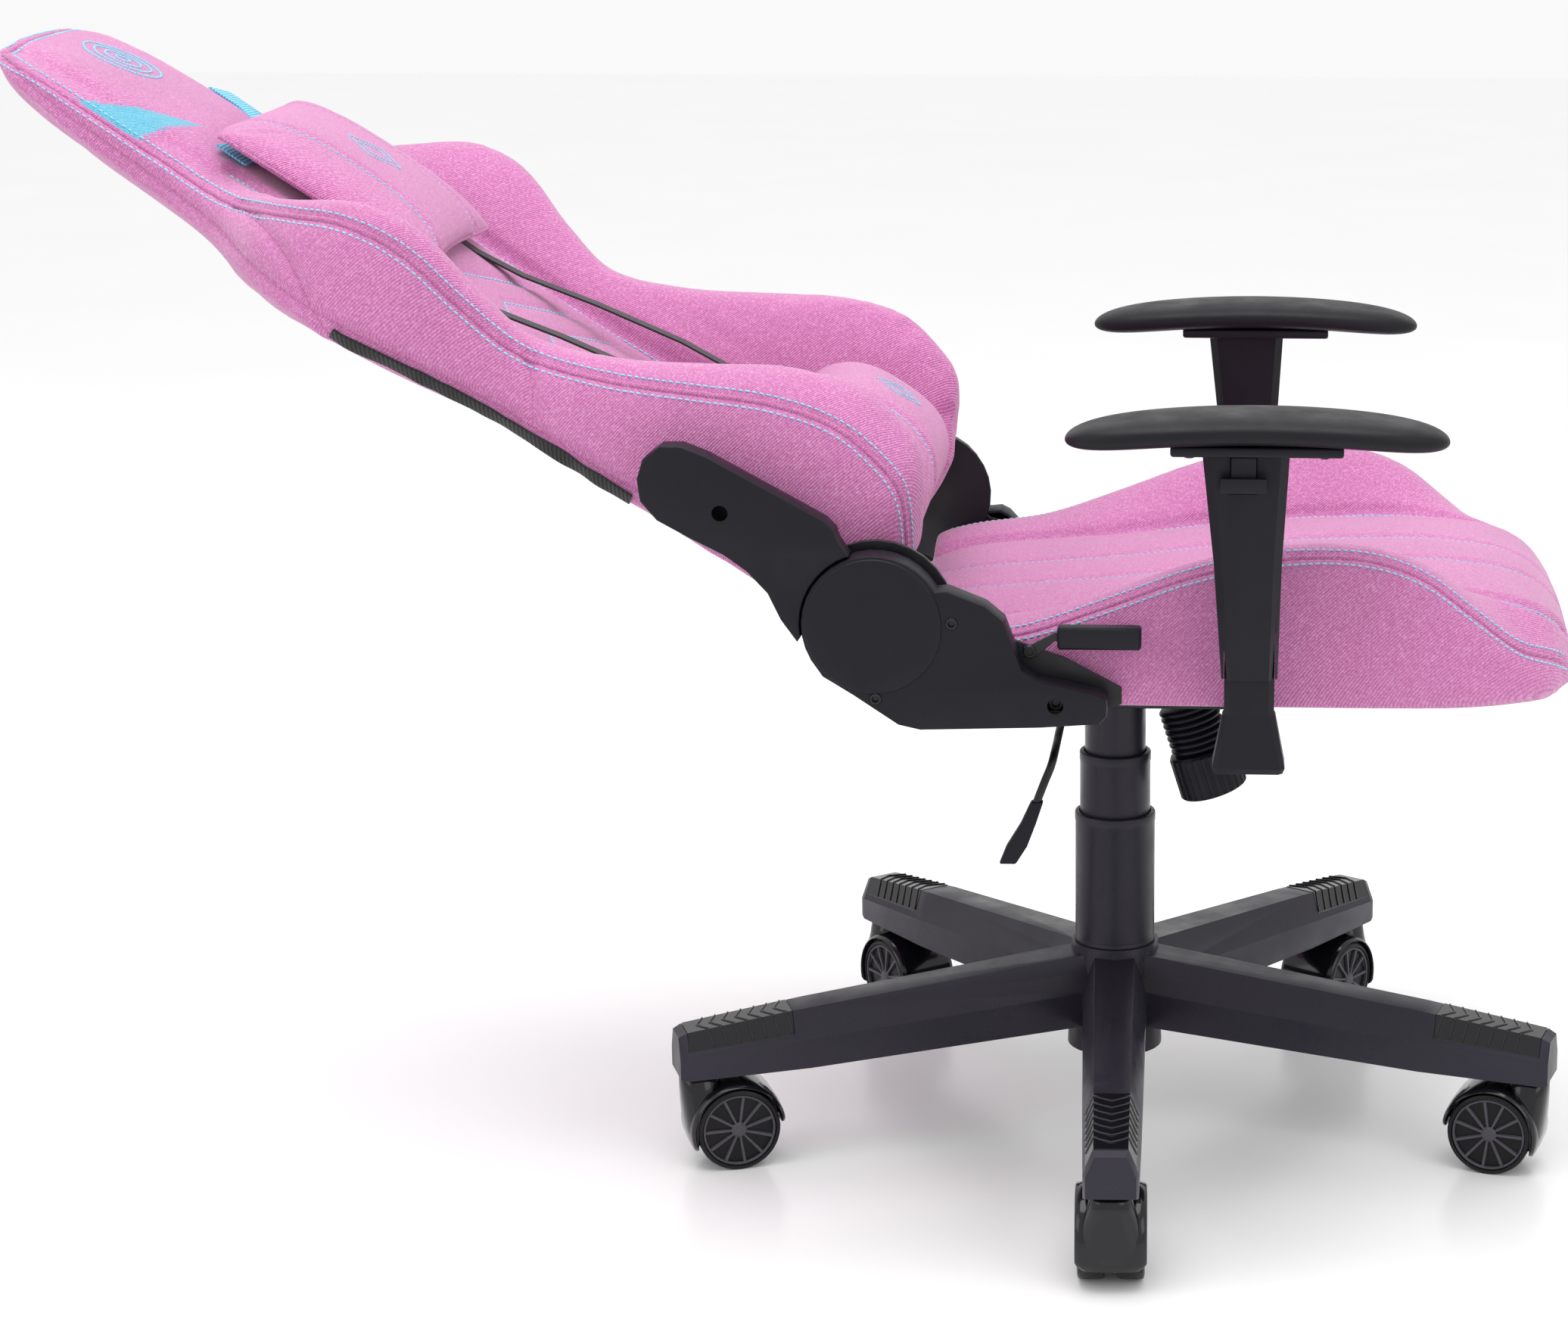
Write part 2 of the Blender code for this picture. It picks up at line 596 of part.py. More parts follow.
def seat_cushion():
    rings = []
    for y, half, crest_x, crest, valley_x, panel in SEAT_STATIONS:
        bottom = SEAT_BOTTOM if SEAT_NOSE < y < SEAT_REAR else SEAT_BOTTOM + 0.010
        side = bottom + (crest - bottom) * 0.55
        half_ring = [
            (half * 0.62, bottom), (half - 0.010, bottom), (half, bottom + 0.014),
            (half, side), (half - 0.010, crest - 0.010), (crest_x, crest),
            ((crest_x + valley_x) / 2, (crest + panel) / 2 + 0.002), (valley_x - 0.004, panel - 0.001),
            (valley_x * 0.55, panel),
        ]
        rings.append([(x, y, z) for x, z in mirrored(half_ring)])
    cushion = loft("seat", rings, levels=0)
    recess = box("pan_recess", (*PAN_LOW, SEAT_BOTTOM - 0.02), (*PAN_HIGH, SEAT_BOTTOM + 0.0130), helper=True)
    adopt(cut(cushion, recess), "seat_cushion", "fabric", seat)
    pan = box("pan", (PAN_LOW[0] + GAP, PAN_LOW[1] + GAP, SEAT_BOTTOM + 0.0004),
              (PAN_HIGH[0] - GAP, PAN_HIGH[1] - GAP, SEAT_BOTTOM + 0.0124))
    adopt(pan, "seat_pan", "plywood", seat)


# ---------------------------------------------------------------- armrests
def rounded_ring(half_x, half_y, z, corner, x=0.0, y=0.0):
    """A level rectangle with cut corners, counter-clockwise."""
    inner_x, inner_y = half_x - corner, half_y - corner
    corners = [(half_x, -inner_y), (half_x, inner_y), (inner_x, half_y), (-inner_x, half_y),
               (-half_x, inner_y), (-half_x, -inner_y), (-inner_x, -half_y), (inner_x, -half_y)]
    return [(x + dx, y + dy, z) for dx, dy in corners]


def across(side, low, high):
    """The X range from low to high outwards from the middle, on one side of the chair."""
    return (min(side * low, side * high), max(side * low, side * high))


def side_box(name, side, x_range, y_range, z_range, helper=False, round_by=0.0):
    low, high = across(side, *x_range)
    return box(name, (low, y_range[0], z_range[0]), (high, y_range[1], z_range[1]), helper, round_by)


def armrest(side, word):
    at = side * ARM_X
    strip_top = SEAT_BOTTOM - 0.0005
    steel = side_box(f"steel_{word}", side, (0.0945, ARM_X + 0.0023), (ARM_Y - 0.016, ARM_Y + 0.016),
                     (strip_top - 0.005, strip_top))
    upright = side_box(f"upright_{word}", side, (ARM_X - 0.0023, ARM_X + 0.0023),
                       (ARM_Y - 0.0125, ARM_Y + 0.0125), (strip_top - 0.004, 0.500), helper=True)
    adopt(join(steel, upright), f"arm_bracket_{word}", "black_steel", seat)

    half_x, half_y = POST_SIZE[0] / 2, POST_SIZE[1] / 2
    post = loft(f"post_{word}", [rounded_ring(hx, hy, z, corner, at, ARM_Y + dy) for hx, hy, z, corner, dy in (
        (0.0120, 0.0240, 0.3590, 0.003, 0.0), (0.0150, 0.0255, 0.3635, 0.003, 0.0),
        (half_x, half_y + 0.001, 0.4000, 0.004, 0.0), (half_x, half_y, 0.4010, 0.004, 0.0),
        (half_x, half_y, 0.5300, 0.004, 0.0))])
    slots = (
        side_box(f"slot_up_{word}", side, (ARM_X - 0.0028, ARM_X + 0.0028), (ARM_Y - 0.013, ARM_Y + 0.013),
                 (strip_top - 0.0055, 0.505), helper=True),
        side_box(f"slot_in_{word}", side, (ARM_X - 0.030, ARM_X + 0.0028), (ARM_Y - 0.0165, ARM_Y + 0.0165),
                 (strip_top - 0.0055, strip_top + 0.0004), helper=True))
    adopt(cut(post, *slots), f"arm_post_{word}", "plastic", seat)

    slide = empty(f"arm_axis_{word}", (at, ARM_Y, 0), row_frame)
    shell = loft(f"sleeve_{word}", [rounded_ring(hx, hy, z, 0.006, at, ARM_Y + 0.004 * grow)
                                    for hx, hy, z, grow in (
        (0.0135, 0.0195, SLEEVE_BOTTOM, 0.0), (0.0165, 0.0235, 0.5100, 0.5), (0.0195, 0.0300, 0.5880, 1.0))])
    pad_y = ARM_Y - 0.0034
    carrier = side_box(f"carrier_{word}", side, (ARM_X - 0.029, ARM_X + 0.029), (pad_y - 0.059, pad_y + 0.059),
                       (0.5872, 0.5945), helper=True, round_by=0.002)
    cavity = side_box(f"cavity_{word}", side, (ARM_X - half_x - GAP, ARM_X + half_x + GAP),
                      (ARM_Y - half_y - GAP, ARM_Y + half_y + GAP), (0.40, 0.5590), helper=True)
    tab_y = (-0.1120, -0.0807)
    stem_y = (-0.1050, -0.0880)
    pocket = side_box(f"pocket_{word}", side, (ARM_X + 0.0138, ARM_X + 0.040), (stem_y[0] - 0.0006, stem_y[1] + 0.0006),
                      (0.5600, 0.5868), helper=True)
    join(shell, carrier)
    cut(shell, cavity, pocket)
    adopt(shell, f"arm_sleeve_{word}", "plastic", slide)

    button = side_box(f"button_{word}", side, (ARM_X + 0.0172, ARM_X + 0.0232), stem_y, (0.5612, 0.5860))
    tab = side_box(f"tab_{word}", side, (ARM_X + 0.0228, ARM_X + 0.0285), tab_y, (0.5622, 0.5727),
                   helper=True, round_by=0.001)
    button_axis = empty(f"button_axis_{word}", (at, ARM_Y, 0.570), slide)
    adopt(join(button, tab), f"arm_button_{word}", "plastic", button_axis)

    stations = ((-1.0, 0.60, 0.50), (-0.95, 0.86, 0.80), (-0.80, 0.97, 0.95), (-0.45, 1.0, 1.0), (0.0, 1.0, 1.0),
                (0.45, 1.0, 1.0), (0.80, 0.97, 0.95), (0.95, 0.86, 0.80), (1.0, 0.60, 0.50))
    rings = []
    for along, wide, thick in stations:
        y = pad_y + along * PAD_LENGTH / 2
        half_w, half_t = PAD_WIDTH / 2 * wide, 0.0100 * thick
        middle = 0.6050 - 0.0105 * along ** 2
        rings.append([(at + half_w * dx, y, middle + half_t * dz) for dx, dz in mirrored(
            [(0.85, -1.0), (1.0, -0.3), (1.0, 0.35), (0.82, 0.85), (0.4, 1.0)])])
    pad = loft(f"pad_{word}", rings)
    seat_for_carrier = side_box(f"pad_recess_{word}", side, (ARM_X - 0.0295, ARM_X + 0.0295),
                                (pad_y - 0.0595, pad_y + 0.0595), (0.56, 0.5950), helper=True)
    adopt(cut(pad, seat_for_carrier), f"arm_pad_{word}", "pad", slide)


# ---------------------------------------------------------------- recline hardware on the seat
COVER_FOOT = (                  # (Y, Z) points of a seat cover's outline, from under the disc to its front end
    (0.1974, 0.4218), (0.1762, 0.4087), (0.1444, 0.3873), (0.1289, 0.3838), (0.0444, 0.3863),
    (0.0030, 0.3893), (-0.0025, 0.3948), (-0.0025, 0.4068), (0.0030, 0.4103), (0.0474, 0.4203),
)
COVER_TOP = {                   # and back over its top to the disc
    "right": ((0.0570, 0.4278), (0.0698, 0.4628), (0.0828, 0.4738), (0.1091, 0.4843)),
    "left": ((0.0730, 0.4245), (0.0870, 0.4300), (0.0960, 0.4400), (0.1030, 0.4435), (0.1120, 0.4425)),
}
PLATE_FOOT = (
    (0.1909, 0.4238), (0.1424, 0.3908), (0.0030, 0.3923), (-0.0122, 0.3978), (-0.0122, 0.4098),
)
PLATE_TOP = {
    "right": ((0.0293, 0.4318), (0.0636, 0.4438), (0.0919, 0.4658), (0.1121, 0.4818)),
    "left": ((0.0293, 0.4160), (0.0830, 0.4230), (0.0960, 0.4340), (0.1110, 0.4380)),
}
DISC_END = {"right": 150, "left": 197}      # degrees round the disc to where the body joins it
COVER_HOLES = {
    "right": (((0.0337, 0.4023), 0.0058), ((0.1062, 0.4613), 0.0030), ((0.1601, 0.4064), 0.0030)),
    "left": (((0.0337, 0.4023), 0.0058), ((0.1601, 0.4064), 0.0030)),
}


def shell_across(name, side, outline, holes, x_low, x_high, wall=0.0025):
    """A cover that is open towards the seat: a rounded plate with a smaller plate cut out of its inner side."""
    low, high = across(side, x_low, x_high)
    cover = plate(name, [outline], low, high, round_by=0.0018)
    inner = across(side, x_low - 0.004, x_high - wall)
    hollow = plate(f"{name}_hollow", [outline], *inner, inset=wall, helper=True)
    cut(cover, hollow)
    for number, (centre, radius) in enumerate(holes):
        through = cylinder(f"{name}_hole_{number}", radius, (side * (x_low - 0.01), *centre),
                           (side * (x_high + 0.01), *centre), 12, helper=True)
        cut(cover, through)
    return cover


def recline_side(side, word):
    radius, end = DISC_RADIUS[word], DISC_END[word]
    plate_disc = arc(HINGE, radius - 0.0035, -40, end, 14)
    steel = plate(f"seat_plate_{word}", [plate_disc + list((PLATE_FOOT + PLATE_TOP[word])[::-1])],
                  *across(side, PLATE_X + 0.0050, PLATE_X + 0.0050 + PLATE_THICKNESS))
    foot = side_box(f"foot_{word}", side, (0.1650, PLATE_X + 0.0060), (0.0150, 0.1300),
                    (SEAT_BOTTOM - 0.0045, SEAT_BOTTOM - 0.0005), helper=True)
    rise = side_box(f"foot_rise_{word}", side, (PLATE_X + 0.0005, PLATE_X + 0.0070), (0.0150, 0.1300),
                    (SEAT_BOTTOM - 0.0045, SEAT_BOTTOM + 0.0100), helper=True)
    adopt(join(steel, foot, rise), f"seat_bracket_{word}", "black_steel", seat)
    disc = arc(HINGE, radius + 0.001, -40, end, 18)
    cover = shell_across(f"seat_cover_{word}", side, disc + list((COVER_FOOT + COVER_TOP[word])[::-1]),
                         COVER_HOLES[word], COVER_X, COVER_X + COVER_DEPTH)
    adopt(cover, f"seat_cover_{word}", "plastic", seat)


LEVER_PIVOT = (0.0525, 0.4368)


def recline_lever():
    """A cranked steel lever on the right-hand side, with a flat moulded handle pushed over it."""
    at = -(COVER_X + 0.0026)
    axis = empty("lever_axis", (at, LEVER_PIVOT[0] - TILT_AXIS[0], LEVER_PIVOT[1] - TILT_AXIS[1]), seat)
    blade = [(-0.0223, 0.4443), (-0.0223, 0.4508), (0.0343, 0.4508), (0.0505, 0.4420),
             (0.0570, 0.4396), (0.0577, 0.4343), (0.0535, 0.4313), (0.0485, 0.4330), (0.0353, 0.4443)]
    adopt(plate("lever", [blade], at - 0.0020, at + 0.0020), "recline_lever", "black_steel", axis)
    handle = box("handle", (at - 0.0070, -0.0260, 0.4393), (at + 0.0050, 0.0331, 0.4557), round_by=0.002)
    slot = box("handle_slot", (at - 0.0025, -0.0229, 0.4438), (at + 0.0025, 0.0400, 0.4513), helper=True)
    adopt(cut(handle, slot), "recline_handle", "plastic", axis)


# ---------------------------------------------------------------- backrest, in its own upright frame
BACK_STATIONS = (               # Z above the hinge: half width, crest across, crest, valley across, panel
    (0.005, 0.190, 0.156, 0.066, 0.118, 0.001),
    (0.030, 0.201, 0.160, 0.101, 0.120, 0.004),
    (0.060, 0.204, 0.162, 0.116, 0.120, 0.006),
    (0.100, 0.205, 0.163, 0.121, 0.120, 0.005),
    (0.145, 0.204, 0.164, 0.107, 0.122, 0.000),
    (0.190, 0.201, 0.165, 0.081, 0.124, -0.004),
    (0.250, 0.194, 0.165, 0.046, 0.126, -0.007),
    (0.310, 0.190, 0.166, 0.024, 0.128, -0.008),
    (0.360, 0.200, 0.176, 0.033, 0.130, -0.007),
    (0.415, 0.214, 0.190, 0.049, 0.132, -0.006),
    (0.460, 0.214, 0.192, 0.043, 0.132, -0.005),
    (0.505, 0.192, 0.176, 0.014, 0.128, -0.004),
    (0.545, 0.150, 0.134, -0.013, 0.114, -0.005),
    (0.600, 0.124, 0.106, -0.021, 0.090, -0.011),
    (0.690, 0.119, 0.100, -0.022, 0.084, -0.014),
    (0.724, 0.111, 0.092, -0.025, 0.070, -0.017),
    (0.744, 0.094, 0.078, -0.028, 0.055, -0.023),
)
HEAD_END = (0.755, 0.072)       # Z and half width of the rear cover's top edge
REAR_STATIONS = (               # Z above the hinge: how far the back cover stands behind the hinge
    (0.005, 0.038), (0.190, 0.043), (0.300, 0.048), (0.420, 0.055), (0.600, 0.062),
    (0.690, 0.058), (0.737, 0.054), (0.755, 0.050),
)
SHELL_DEPTH = 0.022
SHELL_WALL = 0.0035


def rear_at(up):
    return between(REAR_STATIONS, up)[0]


def back_ring(up, half, crest_x, crest, valley_x, panel):
    """One level section of the upholstered front: -Y is towards the sitter."""
    split = -rear_at(up) + SHELL_DEPTH
    side = split + (crest - split) * 0.5
    half_ring = [
        (half * 0.62, split), (half, split), (half + 0.001, side),
        (half - 0.012, crest - (crest - split) * 0.12), (crest_x, crest),
        ((crest_x + valley_x) / 2, (crest + panel) / 2), (valley_x, panel + (crest - panel) * 0.04),
        (valley_x * 0.6, panel),
    ]
    return [(x, -front, up) for x, front in mirrored(half_ring)]


def shell_ring(up, half, inset, open_front):
    """One level section of the rear cover; its front is open where inset is given."""
    rear = rear_at(up) - inset
    front = rear_at(up) - SHELL_DEPTH + (-open_front if open_front else GAP * 2)
    width = half - inset
    half_ring = [(width * 0.7, rear), (width - 0.010, rear - 0.001), (width, rear - 0.009), (width, front)]
    return [(x, y, up) for x, y in mirrored(half_ring)]


def backrest():
    rings = [back_ring(*row) for row in BACK_STATIONS]
    adopt(loft("back", rings), "back_cushion", "fabric", back, own_frame=True)

    levels = [row for row in BACK_STATIONS if row[0] not in (0.030, 0.060, 0.145, 0.250, 0.360)]
    shell = loft("rear", [shell_ring(row[0], row[1], 0, 0) for row in [*levels, HEAD_END]])
    inner = levels[:-1]
    heights = [inner[0][0] + SHELL_WALL] + [row[0] for row in inner[1:]]
    hollow = loft("rear_hollow", [shell_ring(up, row[1], SHELL_WALL, 0.010) for up, row in zip(heights, inner)],
                  helper=True)
    adopt(cut(shell, hollow), "back_cover", "fabric", back, own_frame=True)

    sides = ((0.0300, 0.1740), (0.1000, 0.1830), (0.1900, 0.1805), (0.3000, 0.1710), (0.4300, 0.1860),
             (0.5000, 0.1540), (0.5600, 0.1080), (0.6000, 0.0980), (0.6800, 0.0900), (0.7050, 0.0700))
    right = [(-x, rear_at(up) - 0.0123, up) for up, x in sides]
    left = [(-x, y, up) for x, y, up in right[::-1]]
    adopt(tube("frame", right + left, 0.0074, cyclic=True), "back_frame", "black_steel", back, own_frame=True)


def back_arm(side, word):
    """A steel arm with a round boss on the hinge axis, and the cover that hides it."""
    boss = arc((0, 0), DISC_RADIUS[word] + 0.006, 112, 428, 26)
    strip = [(-0.0250, 0.1780), (0.0020, 0.1860), (0.0130, 0.1780)]
    low, high = across(side, PLATE_X, PLATE_X + PLATE_THICKNESS)
    adopt(plate(f"arm_{word}", [boss + strip[::-1]], low, high),
          f"back_bracket_{word}", "black_steel", back, own_frame=True)
    end = [(0.0400, 0.0380), (0.0330, 0.0560), (0.0220, 0.0740), (0.0170, 0.0940), (0.0160, 0.1140),
           (0.0190, 0.1400), (0.0210, 0.1660), (0.0160, 0.1830), (0.0040, 0.1930), (-0.0100, 0.1970),
           (-0.0250, 0.1920), (-0.0330, 0.1800), (-0.0370, 0.1610), (-0.0440, 0.0690), (-0.0420, 0.0590),
           (-0.0370, 0.0530)]
    round_disc = arc((0, 0), DISC_RADIUS[word] + 0.0022, 128, 47, 8)
    cover = shell_across(f"arm_cover_{word}", side, end + round_disc, (((-0.0080, 0.1320), 0.0058),),
                         COVER_X, COVER_X + COVER_DEPTH - 0.003)
    adopt(cover, f"arm_cover_{word}", "plastic", back, own_frame=True)


# ---------------------------------------------------------------- pillows and straps
def pillow(name, half_width, low, high, rear, front, axis):
    """A stuffed pillow with a flat rear and a domed front, softened. Low and high are its Z ends."""
    bm = bmesh.new()
    bmesh.ops.create_cube(bm, size=2)
    bmesh.ops.subdivide_edges(bm, edges=bm.edges[:], cuts=2, use_grid_fill=True)
    for vert in bm.verts:
        x, y, z = vert.co
        dome = max(1 - 0.65 * x ** 2 - 0.55 * z ** 2, 0.15)
        depth = rear + (front - rear) * 1.04 * (dome if y < 0 else 0)
        vert.co = (x * half_width * 1.03, -depth, (low + high) / 2 + z * (high - low) / 2 * 1.03)
    made = from_bmesh(name, bm)
    soften = made.modifiers.new("soften", "SUBSURF")
    soften.levels = soften.render_levels = 1
    return adopt(made, name, "fabric", axis, own_frame=True)


def pillows_and_straps():
    head = empty("head_pillow_axis", (0, 0, 0), back)
    lumbar = empty("lumbar_pillow_axis", (0, 0, 0), back)
    pillow("head_pillow", 0.120, 0.401, 0.588, 0.000, 0.045, head)
    pillow("lumbar_pillow", 0.122, 0.003, 0.135, 0.034, 0.110, lumbar)
    webbing = [(0.086, 0.0100, 0.632), (0.070, 0.0066, 0.600), (0.040, 0.0040, 0.575), (-0.040, 0.0030, 0.562),
               (-0.095, 0.0034, 0.568)]
    adopt(ribbon("webbing", webbing, 0.026, 0.0014), "head_pillow_webbing", "blue_webbing", back, own_frame=True)
    strap_x = 0.0765
    rise = [(0.030, -0.014), (0.080, -0.024), (0.130, -0.0295), (0.165, -0.0300), (0.230, -0.0250),
            (0.300, -0.0130), (0.360, 0.0000), (0.400, 0.0040), (0.495, 0.0020)]
    right = [(-strap_x, y, up) for up, y in rise]
    left = [(strap_x, y, up) for up, y in rise[::-1]]
    crossing = [(-strap_x + 0.012, 0.0016, 0.507), (strap_x - 0.012, 0.0016, 0.507)]
    adopt(ribbon("straps", right + crossing + left, 0.014, 0.0016), "back_straps", "webbing", back, own_frame=True)


# ---------------------------------------------------------------- the whole chair
star_base()
footrest_inserts()
casters()
lift = column()
tilt_housing(lift)
tension_knob(lift)
lift_lever(lift)
tilt_plate()
seat_cushion()
backrest()
for which, label in ((-1, "right"), (1, "left")):
    armrest(which, label)
    recline_side(which, label)
    back_arm(which, label)
recline_lever()
pillows_and_straps()
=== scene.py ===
import json
from math import cos, pi, radians, sin

import bmesh
import bpy
import numpy as np
from mathutils import Matrix, Vector
from mathutils.bvhtree import BVHTree
from mathutils.kdtree import KDTree


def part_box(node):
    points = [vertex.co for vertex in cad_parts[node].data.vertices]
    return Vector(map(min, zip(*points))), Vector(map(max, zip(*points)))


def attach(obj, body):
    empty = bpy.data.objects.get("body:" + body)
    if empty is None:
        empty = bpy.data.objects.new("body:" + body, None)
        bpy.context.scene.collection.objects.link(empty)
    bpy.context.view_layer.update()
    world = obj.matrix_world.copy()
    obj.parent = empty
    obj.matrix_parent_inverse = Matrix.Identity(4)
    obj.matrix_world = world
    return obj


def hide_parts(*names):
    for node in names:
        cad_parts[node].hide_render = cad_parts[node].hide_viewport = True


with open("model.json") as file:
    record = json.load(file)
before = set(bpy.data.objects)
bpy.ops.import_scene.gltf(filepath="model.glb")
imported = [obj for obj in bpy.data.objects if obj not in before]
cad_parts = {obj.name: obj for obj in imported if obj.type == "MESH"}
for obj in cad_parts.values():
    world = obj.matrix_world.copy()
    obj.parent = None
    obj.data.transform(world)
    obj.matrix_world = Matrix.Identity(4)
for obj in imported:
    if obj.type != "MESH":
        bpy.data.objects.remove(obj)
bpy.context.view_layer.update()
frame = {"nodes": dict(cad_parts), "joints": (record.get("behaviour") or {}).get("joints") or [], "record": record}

# ------------------------------------------------------------------ where things are
JOINTS = {j["name"]: j for j in frame["joints"]}
AXIS = Vector((*JOINTS["seat_swivel"]["pos_m"][:2], 0))
HINGE = Vector(JOINTS["back_recline"]["pos_m"])
ALONG = Vector(JOINTS["head_pillow_slide"]["axis"]).normalized()    # up the back
OUT = Vector((0, -ALONG.z, ALONG.y))                                # from the back to the sitter
CHAIR = Matrix.Translation(AXIS)
BACK = Matrix.Translation(HINGE) @ Matrix((
    (1, 0, 0, 0), (0, OUT.y, ALONG.y, 0), (0, OUT.z, ALONG.z, 0), (0, 0, 0, 1)))   # x, out, along
SEAT_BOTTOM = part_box("seat_cushion")[0].z
SLOT_OF = {s["node"]: s["material_slot"] for s in frame["record"]["subparts"]}
BODY_OF = {n: b for b, names in frame["record"]["behaviour"]["bodies"].items() for n in names}
LYING = Matrix.Rotation(radians(90), 4, "X")      # turns Z onto Y


# ------------------------------------------------------------------ materials
def feed(tree, socket, value):
    """Links a socket, or sets it to a plain value."""
    if isinstance(value, bpy.types.NodeSocket):
        tree.links.new(value, socket)
    else:
        socket.default_value = value


def shader_of(name, roughness, metallic=0.0, **sockets):
    """A new material with its node tree, its shader and its object coordinates."""
    made = bpy.data.materials.new(name)
    made.use_nodes = True
    tree = made.node_tree
    shader = tree.nodes["Principled BSDF"]
    shader.inputs["Roughness"].default_value = roughness
    shader.inputs["Metallic"].default_value = metallic
    for key, value in sockets.items():
        shader.inputs[key.replace("_", " ")].default_value = value
    return made, tree, shader, node(tree, "ShaderNodeTexCoord").outputs["Object"]


def node(tree, kind, inputs=None, **settings):
    made = tree.nodes.new(kind)
    for key, value in settings.items():
        setattr(made, key, value)
    for key, value in (inputs or {}).items():
        feed(tree, made.inputs[key], value)
    return made


def noise(tree, where, scale, detail=2.0, roughness=0.5):
    inputs = {"Vector": where, "Scale": scale, "Detail": detail, "Roughness": roughness}
    return node(tree, "ShaderNodeTexNoise", inputs).outputs["Fac"]


def ramp(tree, value, *stops):
    """Colours along a value, each at its place. A plain number is a grey."""
    made = node(tree, "ShaderNodeValToRGB", {"Fac": value})
    elements = made.color_ramp.elements
    while len(elements) < len(stops):
        elements.new(0.5)
    for element, (at, colour) in zip(elements, stops):
        element.position = at
        element.color = (*colour, 1) if isinstance(colour, tuple) else (colour, colour, colour, 1)
    return made.outputs["Color"]


def times(colour, factor, more=0.0):
    """A darker or lighter colour, kept in range."""
    return tuple(min(c * factor + more, 1) for c in colour)


def mixed(tree, share, a, b, blend="MIX"):
    made = node(tree, "ShaderNodeMix", {0: share}, data_type="RGBA", blend_type=blend)
    for socket, value in ((made.inputs[6], a), (made.inputs[7], b)):
        feed(tree, socket, (*value, 1) if isinstance(value, tuple) else value)
    return made.outputs[2]


def maths(tree, operation, a, b):
    return node(tree, "ShaderNodeMath", {0: a, 1: b}, operation=operation).outputs[0]


def wired(made, tree, shader, colour, height, strength, distance, rough=None):
    """Links a shader's colour, its bump and, where it varies, its roughness."""
    tree.links.new(colour, shader.inputs["Base Color"])
    if rough is not None:
        tree.links.new(rough, shader.inputs["Roughness"])
    relief = node(tree, "ShaderNodeBump", {"Height": height, "Strength": strength, "Distance": distance})
    tree.links.new(relief.outputs["Normal"], shader.inputs["Normal"])
    return made


def twill(name, deep, mid, light, patch=False):
    """Heathered twill: fine diagonal ribs, flecks, a soft sheen, and perhaps a printed patch."""
    made, tree, shader, where = shader_of(name, 0.88, Sheen_Weight=0.55, Sheen_Roughness=0.40,
                                          Sheen_Tint=(1.0, 0.90, 0.98, 1), Specular_IOR_Level=0.30)
    shift = node(tree, "ShaderNodeTexNoise", {"Vector": where, "Scale": 60.0}).outputs["Color"]
    shift = node(tree, "ShaderNodeVectorMath", {0: shift, 1: (0.0012, 0.0012, 0.0012)}, operation="MULTIPLY")
    wobble = node(tree, "ShaderNodeVectorMath", {0: where, 1: shift.outputs[0]}, operation="ADD").outputs[0]
    wave = {"Vector": wobble, "Scale": 235.0, "Distortion": 0.6, "Detail": 1.0, "Detail Scale": 3.0}
    ribs = node(tree, "ShaderNodeTexWave", wave, bands_direction="DIAGONAL").outputs["Fac"]
    yarn = noise(tree, where, 1150.0, 2.0, 0.7)
    heather = noise(tree, where, 520.0, 3.0, 0.75)
    clouds = noise(tree, where, 9.0, 3.0)
    colour = ramp(tree, heather, (0.30, deep), (0.50, mid), (0.72, light))
    flecks = ramp(tree, yarn, (0.55, 0.0), (0.72, 1.0))
    colour = mixed(tree, maths(tree, "MULTIPLY", flecks, 0.40), colour, light)
    shadow = ramp(tree, ribs, (0.05, 0.74), (0.5, 1.0))
    colour = mixed(tree, 1.0, colour, shadow, "MULTIPLY")
    colour = mixed(tree, 1.0, colour, ramp(tree, clouds, (0.3, 0.94), (0.7, 1.04)), "MULTIPLY")
    if patch:
        amount = node(tree, "ShaderNodeAttribute", attribute_name="patch").outputs["Fac"]
        dots = node(tree, "ShaderNodeTexVoronoi", {"Vector": where, "Scale": 330.0, "Randomness": 0.25})
        edge = maths(tree, "SUBTRACT", amount, maths(tree, "MULTIPLY", dots.outputs["Distance"], 0.75))
        blue = ramp(tree, yarn, (0.3, (0.045, 0.30, 0.46)), (0.75, (0.20, 0.60, 0.74)))
        print_colour = mixed(tree, 1.0, blue, shadow, "MULTIPLY")
        colour = mixed(tree, ramp(tree, edge, (0.02, 0.0), (0.12, 1.0)), colour, print_colour)
    height = maths(tree, "ADD", ribs, maths(tree, "MULTIPLY", yarn, 0.8))
    rough = ramp(tree, yarn, (0.3, 0.78), (0.8, 0.95))
    return wired(made, tree, shader, colour, height, 0.45, 0.0009, rough)


